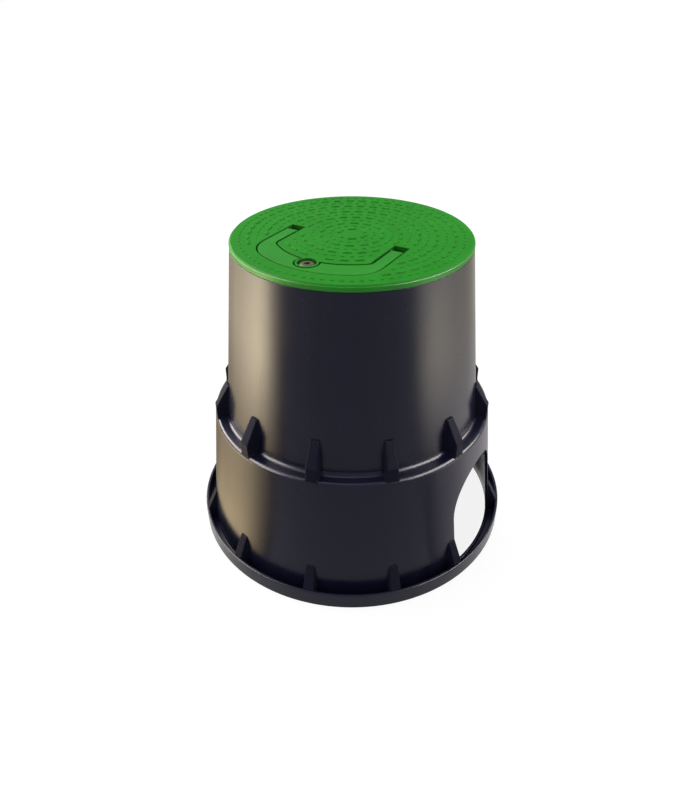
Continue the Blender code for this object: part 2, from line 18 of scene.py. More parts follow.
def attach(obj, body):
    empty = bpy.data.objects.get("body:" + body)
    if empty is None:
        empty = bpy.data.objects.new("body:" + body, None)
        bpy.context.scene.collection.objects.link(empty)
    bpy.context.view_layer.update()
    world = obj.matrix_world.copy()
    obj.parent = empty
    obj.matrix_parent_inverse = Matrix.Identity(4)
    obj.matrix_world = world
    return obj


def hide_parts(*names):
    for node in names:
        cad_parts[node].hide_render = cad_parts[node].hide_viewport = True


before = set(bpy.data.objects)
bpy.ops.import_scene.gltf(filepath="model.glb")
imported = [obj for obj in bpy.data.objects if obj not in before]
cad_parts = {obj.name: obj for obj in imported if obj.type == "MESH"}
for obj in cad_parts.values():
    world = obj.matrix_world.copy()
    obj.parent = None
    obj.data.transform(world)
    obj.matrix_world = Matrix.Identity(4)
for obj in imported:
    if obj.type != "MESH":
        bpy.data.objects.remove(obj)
log = logging.getLogger("valve_box")

Outline = list[Vector]
Ring = list[bmesh.types.BMVert]
Colour = tuple[float, float, float]

# Vertices that are nearer to each other than this are one
WELD = 1e-6
# Heights that differ by less than this are the same
SAME_HEIGHT = 1e-7


class Side(Enum):
    """One of the two sides of the lid's middle plane."""

    RIGHT = 1
    LEFT = -1


class Cut(Enum):
    """What a tool body does to the piece that it is applied to."""

    JOIN = "UNION"
    REMOVE = "DIFFERENCE"
    KEEP = "INTERSECT"


def fillet(before: Vector, corner: Vector, after: Vector, radius: float, steps: int) -> Outline:
    """Rounds one corner of an outline.

    Args:
        before: Point that comes before the corner.
        corner: The sharp corner.
        after: Point that comes after the corner.
        radius: Radius of the round.
        steps: Number of segments in the round.

    Returns:
        The points of the arc that takes the corner's place.
    """
    to_before = (before - corner).normalized()
    to_after = (after - corner).normalized()
    half_angle = to_before.angle(to_after) / 2
    start = corner + to_before * radius / math.tan(half_angle)
    centre = corner + (to_before + to_after).normalized() * radius / math.sin(half_angle)
    sweep = math.pi - 2 * half_angle
    if to_before.x * to_after.y - to_before.y * to_after.x > 0:
        sweep = -sweep
    arm = start - centre
    return [centre + Matrix.Rotation(sweep * step / steps, 2) @ arm for step in range(steps + 1)]


def rounded(corners: Sequence[tuple[float, float, float]], steps: int = 6) -> Outline:
    """Makes a closed outline with rounded corners.

    Args:
        corners: The corners as (x, y, radius).
        steps: Number of segments in each round.

    Returns:
        The outline's points.
    """
    points = [Vector(corner[:2]) for corner in corners]
    outline = []
    for index, (corner, (_, _, radius)) in enumerate(zip(points, corners)):
        if radius:
            after = points[(index + 1) % len(points)]
            outline += fillet(points[index - 1], corner, after, radius, steps)
        else:
            outline.append(corner)
    return outline


def circle(radius: float, centre: Sequence[float] = (0, 0), steps: int = 64) -> Outline:
    """Makes a full circle.

    Args:
        radius: Radius of the circle.
        centre: Its middle.
        steps: Number of segments.

    Returns:
        The circle's points.
    """
    turns = [2 * math.pi * step / steps for step in range(steps)]
    return [Vector(centre) + radius * Vector((math.cos(turn), math.sin(turn))) for turn in turns]


def spread(start: float, end: float, steps: int) -> list[float]:
    """Evenly spaced values from start to end, both included."""
    return [start + (end - start) * step / steps for step in range(steps + 1)]


class Moulding:
    """Mesh of one piece while it is put together from rings of vertices."""

    def __init__(self) -> None:
        """Starts with an empty mesh."""
        self.mesh = bmesh.new()

    def ring(self, points: Sequence[Vector]) -> Ring:
        """Adds one vertex for each point."""
        return [self.mesh.verts.new(point) for point in points]

    def bridge(self, lower: Ring, upper: Ring, closed: bool = True) -> None:
        """Joins two rings of the same length with quads.

        Args:
            lower: First ring.
            upper: Second ring.
            closed: Whether the last vertices join the first ones.
        """
        for index in range(0 if closed else 1, len(lower)):
            self.mesh.faces.new((lower[index - 1], lower[index], upper[index], upper[index - 1]))

    def stack(self, rings: Sequence[Ring]) -> None:
        """Joins each ring to the next and closes both ends."""
        for lower, upper in zip(rings, rings[1:]):
            self.bridge(lower, upper)
        self.mesh.faces.new(rings[0])
        self.mesh.faces.new(rings[-1])

    def prism(self, outline: Outline, bottom: float, top: float, place: Matrix | None = None) -> None:
        """Adds an upright prism.

        Args:
            outline: Its plan.
            bottom: Height of its underside.
            top: Height of its top.
            place: Transform that is applied to it.
        """
        place = place or Matrix.Identity(4)
        rings = [self.ring([place @ Vector((point.x, point.y, height)) for point in outline])
                 for height in (bottom, top)]
        self.stack(rings)

    def turned(self, profile: Outline, steps: int) -> None:
        """Adds a solid turned about the Z axis.

        Args:
            profile: Closed section as (radius, height); its points on the axis become flat caps.
            steps: Number of segments round the axis.
        """
        turns = [2 * math.pi * step / steps for step in range(steps)]
        rings = [self.ring([Vector((point.x * math.cos(turn), point.x * math.sin(turn), point.y))
                            for turn in turns])
                 for point in profile if point.x]
        for lower, upper in zip(rings, rings[1:]):
            self.bridge(lower, upper)
        if all(point.x for point in profile):
            self.bridge(rings[-1], rings[0])
        else:
            self.mesh.faces.new(rings[0])
            self.mesh.faces.new(rings[-1])

    def finish(self, name: str) -> bpy.types.Object:
        """Turns the mesh into an object.

        Args:
            name: Name of the object.

        Returns:
            The new object, linked to the scene.
        """
        bmesh.ops.remove_doubles(self.mesh, verts=self.mesh.verts, dist=WELD)
        bmesh.ops.recalc_face_normals(self.mesh, faces=self.mesh.faces)
        mesh = bpy.data.meshes.new(name)
        self.mesh.to_mesh(mesh)
        self.mesh.free()
        piece = bpy.data.objects.new(name, mesh)
        bpy.context.scene.collection.objects.link(piece)
        return piece


def prism(name: str, outline: Outline, bottom: float, top: float,
          place: Matrix | None = None) -> bpy.types.Object:
    """Makes an upright prism as an object of its own.

    Args:
        name: Name of the object.
        outline: Its plan.
        bottom: Height of its underside.
        top: Height of its top.
        place: Transform that is applied to it.

    Returns:
        The prism.
    """
    moulding = Moulding()
    moulding.prism(outline, bottom, top, place)
    return moulding.finish(name)


def disc(name: str, radius: float) -> bpy.types.Object:
    """Makes a flat round sheet on the ground."""
    moulding = Moulding()
    moulding.mesh.faces.new(moulding.ring([point.to_3d() for point in circle(radius)]))
    return moulding.finish(name)


def place_in_scene(name: str, data: bpy.types.ID, place: Matrix) -> bpy.types.Object:
    """Makes an object of a lamp's or camera's data.

    Args:
        name: Name of the object.
        data: The lamp or camera.
        place: Where it stands.

    Returns:
        The object, linked to the scene.
    """
    item = bpy.data.objects.new(name, data)
    item.matrix_world = place
    bpy.context.scene.collection.objects.link(item)
    return item


def shape(piece: bpy.types.Object, cuts: Sequence[tuple[bpy.types.Object, Cut]]) -> None:
    """Applies tool bodies to a piece in order, and removes them.

    Args:
        piece: The piece that changes.
        cuts: Tool bodies, each with what it does.
    """
    for tool, cut in cuts:
        modifier = piece.modifiers.new(tool.name, "BOOLEAN")
        modifier.object = tool
        modifier.operation = cut.value
        modifier.solver = "EXACT"
    graph = bpy.context.evaluated_depsgraph_get()
    result = bpy.data.meshes.new_from_object(piece.evaluated_get(graph))
    piece.modifiers.clear()
    piece.data = result
    for tool, _ in cuts:
        bpy.data.objects.remove(tool)


def round_edges(piece: bpy.types.Object, width: float, segments: int = 3, crease: float = 60.0,
                wanted: Callable[[bmesh.types.BMEdge], bool] = lambda edge: True) -> None:
    """Rounds the sharp edges of a piece.

    Args:
        piece: The piece.
        width: Width of each round.
        segments: Number of segments in a round.
        crease: Least angle between two faces, in degrees, at which their edge counts as sharp.
        wanted: Test that an edge must also pass.
    """
    mesh = bmesh.new()
    mesh.from_mesh(piece.data)
    bmesh.ops.remove_doubles(mesh, verts=mesh.verts, dist=2 * WELD)
    edges = [edge for edge in mesh.edges
             if len(edge.link_faces) == 2 and edge.calc_face_angle(0) > math.radians(crease)
             and wanted(edge)]
    bmesh.ops.bevel(mesh, geom=edges, offset=width, offset_type="OFFSET", segments=segments,
                    profile=0.5, affect="EDGES", clamp_overlap=True)
    mesh.to_mesh(piece.data)
    mesh.free()


def smooth(piece: bpy.types.Object, crease: float = 32.0, area_weight: int = 80) -> None:
    """Shades a piece smooth, with its creases kept and its flats flat.

    Args:
        piece: The piece.
        crease: Angle in degrees from which an edge stays sharp.
        area_weight: How strongly large faces turn the shading, up to 100.
    """
    piece.data.shade_smooth()
    piece.data.set_sharp_from_angle(angle=math.radians(crease))
    modifier = piece.modifiers.new("flat_normals", "WEIGHTED_NORMAL")
    modifier.keep_sharp = True
    modifier.weight = area_weight


def dress(piece: bpy.types.Object, material: bpy.types.Material, body: str,
          node: str | None = None) -> None:
    """Shades a piece, gives it its material and ties it to the frame.

    Args:
        piece: The piece.
        material: Its material.
        body: Body of the frame that it moves with.
        node: CAD node that it stands for, or none.
    """
    smooth(piece)
    piece.data.materials.clear()
    piece.data.materials.append(material)
    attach(piece, body)
    if node:
        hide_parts(node)


class Signal:
    """Output socket of a node, on which Python's arithmetic adds Math nodes."""

    def __init__(self, graph: "Graph", socket: bpy.types.NodeSocket | None) -> None:
        """Wraps a socket.

        Args:
            graph: The graph that the socket's node is in.
            socket: The output socket, or none for a node that has none.
        """
        self.graph = graph
        self.socket = socket

    def _math(self, operation: str, first: "Signal | float", second: "Signal | float") -> "Signal":
        """Adds one Math node."""
        return self.graph.add("ShaderNodeMath", {"operation": operation}, {0: first, 1: second})

    def __add__(self, other: "Signal | float") -> "Signal":
        """Sum."""
        return self._math("ADD", self, other)

    def __radd__(self, other: float) -> "Signal":
        """Sum with a number on the left."""
        return self._math("ADD", other, self)

    def __sub__(self, other: "Signal | float") -> "Signal":
        """Difference."""
        return self._math("SUBTRACT", self, other)

    def __rsub__(self, other: float) -> "Signal":
        """Difference with a number on the left."""
        return self._math("SUBTRACT", other, self)

    def __mul__(self, other: "Signal | float") -> "Signal":
        """Product."""
        return self._math("MULTIPLY", self, other)

    def __rmul__(self, other: float) -> "Signal":
        """Product with a number on the left."""
        return self._math("MULTIPLY", other, self)

    def maximum(self, other: "Signal | float") -> "Signal":
        """Larger of two values."""
        return self._math("MAXIMUM", self, other)

    def between(self, low: float, high: float) -> "Signal":
        """Smooth step that rises from 0 at low to 1 at high."""
        return self.graph.add("ShaderNodeMapRange", {"interpolation_type": "SMOOTHSTEP"},
                              {"Value": self, "From Min": low, "From Max": high})


class Graph:
    """Node tree of a material or of the world, emptied and ready to be written."""

    def __init__(self, owner: bpy.types.Material | bpy.types.World) -> None:
        """Opens and empties the tree.

        Args:
            owner: The material or world.
        """
        owner.use_nodes = True
        self.tree = owner.node_tree
        self.tree.nodes.clear()

    def add(self, kind: str, settings: dict[str, object] | None = None,
            sockets: dict[str | int, object] | None = None, output: str | int = 0) -> Signal:
        """Adds a node.

        Args:
            kind: Type of the node.
            settings: Its properties, which are set first.
            sockets: A value or a signal for each named or numbered input.
            output: Name or number of the output that is wanted.

        Returns:
            That output.
        """
        node = self.tree.nodes.new(kind)
        for name, value in (settings or {}).items():
            setattr(node, name, value)
        for name, value in (sockets or {}).items():
            if isinstance(value, Signal):
                self.tree.links.new(value.socket, node.inputs[name])
            else:
                node.inputs[name].default_value = value
        return Signal(self, node.outputs[output]) if node.outputs else Signal(self, None)

    def noise(self, place: Signal, scale: float, detail: float = 2.0, stretch: Sequence[float] = (1, 1, 1)
              ) -> Signal:
        """Adds a noise pattern.

        Args:
            place: Point at which the pattern is read.
            scale: Waves per metre.
            detail: Number of finer layers.
            stretch: Factor on each axis.

        Returns:
            The pattern, from 0 to 1.
        """
        stretched = self.add("ShaderNodeVectorMath", {"operation": "MULTIPLY"}, {0: place, 1: stretch})
        return self.add("ShaderNodeTexNoise", None,
                        {"Vector": stretched, "Scale": scale, "Detail": detail}, "Fac")

    def mix(self, share: Signal | float, first: Signal | Colour, second: Signal | Colour) -> Signal:
        """Mixes two colours.

        Args:
            share: Share of the second colour.
            first: First colour.
            second: Second colour.

        Returns:
            The mixed colour.
        """
        below, above = [colour if isinstance(colour, Signal) else (*colour, 1) for colour in (first, second)]
        return self.add("ShaderNodeMix", {"data_type": "RGBA"}, {0: share, 6: below, 7: above}, 2)

    def surface(self, shader: Signal) -> None:
        """Sends a shader to the material's output."""
        self.add("ShaderNodeOutputMaterial", None, {"Surface": shader})


@dataclass(frozen=True)
class RimWithPaintedHighlight:
    """Band round a moulding's edge that is smoother than its top, with a paler colour painted on it as a
    painted highlight.
    """

    radius: float
    colour: Colour
    gloss: float
    roughness: float = 0.28
    blend: float = 0.0006

    def mask(self, graph: Graph, place: Signal) -> Signal:
        """Makes the band's mask.

        Args:
            graph: Graph of the material.
            place: Point on the piece.

        Returns:
            1 on the band and 0 inside it.
        """
        across = graph.add("ShaderNodeVectorMath", {"operation": "MULTIPLY"}, {0: place, 1: (1, 1, 0)})
        radius = graph.add("ShaderNodeVectorMath", {"operation": "LENGTH"}, {0: across}, "Value")
        return radius.between(self.radius, self.radius + self.blend)


@dataclass(frozen=True)
class MouldedPlastic:
    """Injection-moulded plastic with a faint skin texture, flow marks and handling marks; its paler edges
    are partly a painted highlight, and it may have painted shade in its hollows and a painted highlight on
    its rim.

    The scales of its patterns are in waves per metre.
    """

    name: str
    colour: Colour
    pale_colour: Colour
    roughness: float
    specular: float
    skin_height: float
    skin_scale: float
    flow_stretch: tuple[float, float, float] = (1, 1, 0.12)
    # Reach of the painted shade in hollows, found by ambient occlusion; none when zero
    hollow_shade_reach: float = 0.0
    rim: RimWithPaintedHighlight | None = None
    cloud_scale: float = 22
    flow_scale: float = 70
    speck_scale: float = 900
    handling_scale: float = 240
    # Share of the colour that is left where the painted shade is darkest
    hollow_shade_darkness: float = 0.12

    def shade_in_hollows(self, graph: Graph, colour: Signal) -> Signal:
        """Paints shade into a colour in grooves and round raised marks, darkening it where ambient occlusion
        finds the surface closed in.

        Args:
            graph: Graph of the material.
            colour: The colour without its painted shade.

        Returns:
            The colour with its painted shade.
        """
        open_air = graph.add("ShaderNodeAmbientOcclusion", {"samples": 8},
                             {"Distance": self.hollow_shade_reach}, "AO")
        painted_shade = (1 - open_air.between(0.25, 0.85)) * 0.75
        return graph.mix(painted_shade, colour, tuple(channel * self.hollow_shade_darkness for channel in self.colour))

    def material(self) -> bpy.types.Material:
        """Makes the material."""
        material = bpy.data.materials.new(self.name)
        graph = Graph(material)
        place = graph.add("ShaderNodeTexCoord", output="Object")
        cloud = graph.noise(place, self.cloud_scale, 3)
        flow = graph.noise(place, self.flow_scale, 4, self.flow_stretch)
        speck = graph.noise(place, self.speck_scale, 2)
        skin = graph.noise(place, self.skin_scale, 3)
        handling = graph.noise(place, self.handling_scale, 5, (1, 1, 0.5)).between(0.60, 0.74)
        edge = graph.add("ShaderNodeNewGeometry", output="Pointiness").between(0.52, 0.60)

        # Clouds and flow marks set the tone, and edges are paler: partly wear, partly a painted highlight
        tone = cloud.between(0.30, 0.70) * 0.45 + flow.between(0.35, 0.65) * 0.25
        colour = graph.mix((tone + edge * 0.35) * 0.8, self.colour, self.pale_colour)
        # Painted shade: darker in grooves and round the tread marks, where ambient occlusion finds them
        # closed in
        if self.hollow_shade_reach:
            colour = self.shade_in_hollows(graph, colour)
        polish: dict[str, Signal | float] = {}
        if self.rim:
            # Painted highlight: the rim band is painted paler; its clear coat is real gloss
            on_rim = self.rim.mask(graph, place)
            colour = graph.mix(on_rim * (0.7 + tone * 0.5), colour, self.rim.colour)
            polish = {"Coat Weight": on_rim * self.rim.gloss, "Coat Roughness": self.rim.roughness}

        # The patterns are taken about their middle, so that they leave the mean roughness as it is
        roughness = (flow - 0.5) * 0.14 + (cloud - 0.5) * 0.10 + handling * 0.02 + self.roughness
        normal = graph.add("ShaderNodeBump", None, {
            "Strength": 1.0, "Distance": self.skin_height, "Height": skin * 0.8 + speck * 0.2})
        graph.surface(graph.add("ShaderNodeBsdfPrincipled", None, {
            "Base Color": colour, "Roughness": roughness, "Normal": normal,
            "Specular IOR Level": self.specular, "IOR": 1.5, **polish}))
        return material


@dataclass(frozen=True)
class PlatedSteel:
    """Zinc-plated steel with a yellowed passivation, dulled and mottled olive-brown by soil; the olive tint
    is partly painted green light bounced from the lid.
    """

    name: str
    colour: Colour
    stain_colour: Colour
    roughness: float
    metallic: float
    specular: float = 0.2
    mottle_scale: float = 500
    grain_scale: float = 2600
    grain_height: float = 0.00004

    def material(self) -> bpy.types.Material:
        """Makes the material."""
        material = bpy.data.materials.new(self.name)
        graph = Graph(material)
        place = graph.add("ShaderNodeTexCoord", output="Object")
        mottle = graph.noise(place, self.mottle_scale, 4)
        grain = graph.noise(place, self.grain_scale, 2)
        colour = graph.mix(mottle.between(0.35, 0.65), self.colour, self.stain_colour)
        roughness = (mottle - 0.5) * 0.25 + (grain - 0.5) * 0.10 + self.roughness
        normal = graph.add("ShaderNodeBump", None,
                           {"Strength": 0.6, "Distance": self.grain_height, "Height": grain})
        graph.surface(graph.add("ShaderNodeBsdfPrincipled", None, {
            "Base Color": colour, "Roughness": roughness, "Normal": normal, "Metallic": self.metallic,
            "Specular IOR Level": self.specular}))
        return material


@dataclass(frozen=True)
class Envelope:
    """Sizes that the body and the lid share."""

    mouth_radius: float = 0.1101
    body_height: float = 0.304
    wall: float = 0.003
    cone_taper: float = 0.110
    catch_width: float = 0.0095
    catch_top: float = 0.297
    catch_bottom: float = 0.294
    lid_bottom: float = 0.3043
    lid_top: float = 0.310

    @property
    def catch_radius(self) -> float:
        """Inner radius of the catch ring in the mouth."""
        return self.mouth_radius - self.wall - self.catch_width

    def cone_radius(self, height: float) -> float:
        """Outer radius of the upper wall at a height."""
        return self.mouth_radius + (self.body_height - height) * self.cone_taper


@dataclass(frozen=True)
class Gusset:
    """One kind of gusset: where it stands and how it is cut."""

    outer_edge: Outline
    wall_radius: Callable[[float], float]
    seat: float


@dataclass
class MouldedBody:
    """Black one-piece shell: tapered walls, ledge, skirt with two arched openings, flange and lip."""

    envelope: Envelope
    finish: MouldedPlastic

    # Mouth, ledge and skirt
    rim_round: float = 0.0008
    rim_edge_round: float = 0.0002
    catch_round: float = 0.0006
    ledge_top: float = 0.1349
    ledge_width: float = 0.0122
    ledge_edge_round: float = 0.004
    ledge_fillet: float = 0.0045
    skirt_taper: float = 0.112

    # Flange and its lip
    flange_thickness: float = 0.003
    channel_width: float = 0.006
    lip_thickness: float = 0.003
    lip_height: float = 0.0165
    small_round: float = 0.001
    skirt_foot_round: float = 0.0008
    sole_round: float = 0.0004

    # Arched openings; the shoulder is the angle at which a patch's upper corner meets the arch
    arch_width: float = 0.092
    arch_spring: float = 0.062
    arch_sill: float = 0.005
    arch_shoulder: float = 52.0
    arch_edge_round: float = 0.0009
    arch_edge_steps: int = 5

    # Mesh of the wall, and of the patches in it that hold the openings
    columns: int = 288
    patch_columns: int = 20
    patch_rows: int = 32
    patch_layers: int = 9
    patch_bottom: float = 0.004
    patch_top: float = 0.122

    @property
    def ledge_radius(self) -> float:
        """Outer radius of the ledge."""
        return self.envelope.cone_radius(self.ledge_top) + self.ledge_width

    @property
    def foot_radius(self) -> float:
        """Outer radius of the skirt at the ground."""
        return self.ledge_radius + self.ledge_top * self.skirt_taper

    @property
    def base_radius(self) -> float:
        """Outer radius of the flange."""
        return self.foot_radius + self.channel_width + self.lip_thickness

    @property
    def patch_heights(self) -> list[float]:
        """Heights of the rows that run through the openings' patches."""
        return spread(self.patch_bottom, self.patch_top, self.patch_rows)

    def skirt_radius(self, height: float) -> float:
        """Outer radius of the skirt at a height."""
        return self.foot_radius - height * self.skirt_taper

    def profile(self) -> Outline:
        """Section of the wall: down the outside, round the flange, up the inside."""
        envelope = self.envelope
        wall = envelope.wall
        under = self.ledge_top - wall
        lip_inner = self.foot_radius + self.channel_width
        outside = [
            (envelope.mouth_radius, envelope.body_height, self.rim_edge_round),
            (envelope.cone_radius(self.ledge_top), self.ledge_top, self.ledge_fillet),
            (self.ledge_radius, self.ledge_top, self.ledge_edge_round),
        ]
        outside += [(self.skirt_radius(height), height, 0) for height in reversed(self.patch_heights)]
        foot = [
            (self.skirt_radius(self.flange_thickness), self.flange_thickness, self.skirt_foot_round),
            (lip_inner, self.flange_thickness, self.small_round),
            (lip_inner, self.lip_height, self.small_round),
            (self.base_radius, self.lip_height, self.small_round),
            (self.base_radius, 0, self.sole_round),
            (self.foot_radius - wall, 0, self.sole_round),
        ]
        inside = [(self.skirt_radius(height) - wall, height, 0) for height in self.patch_heights]
        inside += [
            (self.skirt_radius(under) - wall, under, self.small_round),
            (envelope.cone_radius(under) - wall, under, self.ledge_fillet),
            (envelope.cone_radius(envelope.catch_bottom) - wall, envelope.catch_bottom, self.catch_round),
            (envelope.catch_radius, envelope.catch_bottom, self.catch_round),
            (envelope.catch_radius, envelope.catch_top, self.catch_round),
            (envelope.cone_radius(envelope.catch_top) - wall, envelope.catch_top, self.catch_round),
            (envelope.mouth_radius - wall, envelope.body_height, self.rim_round),
        ]
        return rounded(outside + foot + inside)

    def arch_outline(self, growth: float) -> Outline:
        """Outline of an opening in the (Y, Z) plane, matched to the edge of its patch.

        Args:
            growth: How far the outline stands outside the opening itself.

        Returns:
            Its points, from the lower right corner across the sill, up the left jamb and over the head.
        """
        radius = self.arch_width / 2 + growth
        sill = self.arch_sill - growth
        shoulder = math.radians(self.arch_shoulder)
        jamb_length = self.arch_spring - sill
        side_length = jamb_length + radius * shoulder
        side = []
        for distance in spread(0, side_length, self.patch_rows):
            turn = max(distance - jamb_length, 0) / radius
            height = min(sill + distance, self.arch_spring)
            side.append(Vector((radius * math.cos(turn), height + radius * math.sin(turn))))
        head = [Vector((radius * math.cos(turn), self.arch_spring + radius * math.sin(turn)))
                for turn in spread(shoulder, math.pi - shoulder, 2 * self.patch_columns)]
        base = [Vector((y, sill)) for y in spread(-radius, radius, 2 * self.patch_columns)]
        left = [Vector((-point.x, point.y)) for point in reversed(side)]
        return base[:-1] + side[:-1] + head[:-1] + left[:-1]

    def patch_edge(self) -> Outline:
        """Edge of an opening's patch as (azimuth, height), in the same order as the outline."""
        reach = 2 * math.pi * self.patch_columns / self.columns
        heights = self.patch_heights
        azimuths = spread(-reach, reach, 2 * self.patch_columns)
        bottom = [Vector((azimuth, heights[0])) for azimuth in azimuths]
        right = [Vector((reach, height)) for height in heights]
        top = [Vector((azimuth, heights[-1])) for azimuth in reversed(azimuths)]
        left = [Vector((-reach, height)) for height in reversed(heights)]
        return bottom[:-1] + right[:-1] + top[:-1] + left[:-1]

    def add_opening(self, moulding: Moulding, turn: Matrix) -> None:
        """Adds the wall round one opening, with the opening's rounded rim.

        Args:
            moulding: Mesh that the wall is added to.
            turn: Rotation that brings the +X opening to its place.
        """
        edge = self.patch_edge()
        grown = self.arch_outline(self.arch_edge_round)
        rims = []
        for depth, sign in ((0.0, -1), (self.envelope.wall, 1)):
            rings = []
            for layer in range(self.patch_layers + 1):
                share = layer / self.patch_layers
                share = share * (2 - share)
                points = []
                for outer, inner in zip(edge, grown):
                    radius = self.skirt_radius(inner.y) - depth
                    azimuth = outer.x + (math.asin(inner.x / radius) - outer.x) * share
                    height = outer.y + (inner.y - outer.y) * share
                    radius = self.skirt_radius(height) - depth
                    points.append(turn @ Vector((radius * math.cos(azimuth),
                                                 radius * math.sin(azimuth), height)))
                rings.append(moulding.ring(points))
            for sweep in spread(0, math.pi / 2, self.arch_edge_steps)[1:]:
                sunk = self.arch_edge_round * (1 - math.cos(sweep))
                outline = self.arch_outline(self.arch_edge_round * (1 - math.sin(sweep)))
                points = []
                for point in outline:
                    radius = self.skirt_radius(point.y) - depth
                    across = math.sqrt(radius ** 2 - point.x ** 2) + sign * sunk
                    points.append(turn @ Vector((across, point.x, point.y)))
                rings.append(moulding.ring(points))
            for first, second in zip(rings, rings[1:]):
                moulding.bridge(first, second)
            rims.append(rings[-1])
        moulding.bridge(*rims)

    def add_shell(self, moulding: Moulding) -> None:
        """Adds the turned wall, with the openings' patches left out and then filled in.

        Args:
            moulding: Mesh that the wall is added to.
        """
        profile = self.profile()
        turns = [2 * math.pi * column / self.columns for column in range(self.columns)]
        rings = [moulding.ring([Vector((point.x * math.cos(turn), point.x * math.sin(turn), point.y))
                                for turn in turns]) for point in profile]
        low, high = self.patch_bottom - SAME_HEIGHT, self.patch_top + SAME_HEIGHT
        for index, point in enumerate(profile):
            before = profile[index - 1]
            in_patch = (low < point.y < high and low < before.y < high
                        and max(point.x, before.x) < self.foot_radius)
            for column in range(self.columns):
                middle = (column - 0.5) % (self.columns / 2)
                near = min(middle, self.columns / 2 - middle) < self.patch_columns
                if in_patch and near:
                    continue
                moulding.mesh.faces.new((rings[index - 1][column - 1], rings[index - 1][column],
                                         rings[index][column], rings[index][column - 1]))
        for azimuth in (0, math.pi):
            self.add_opening(moulding, Matrix.Rotation(azimuth, 4, "Z"))

    def build(self) -> list[bpy.types.Object]:
        """Builds and dresses the shell."""
        moulding = Moulding()
        self.add_shell(moulding)
        walls = moulding.finish("moulded_walls")
        dress(walls, self.finish.material(), "box", "body")
        return [walls]


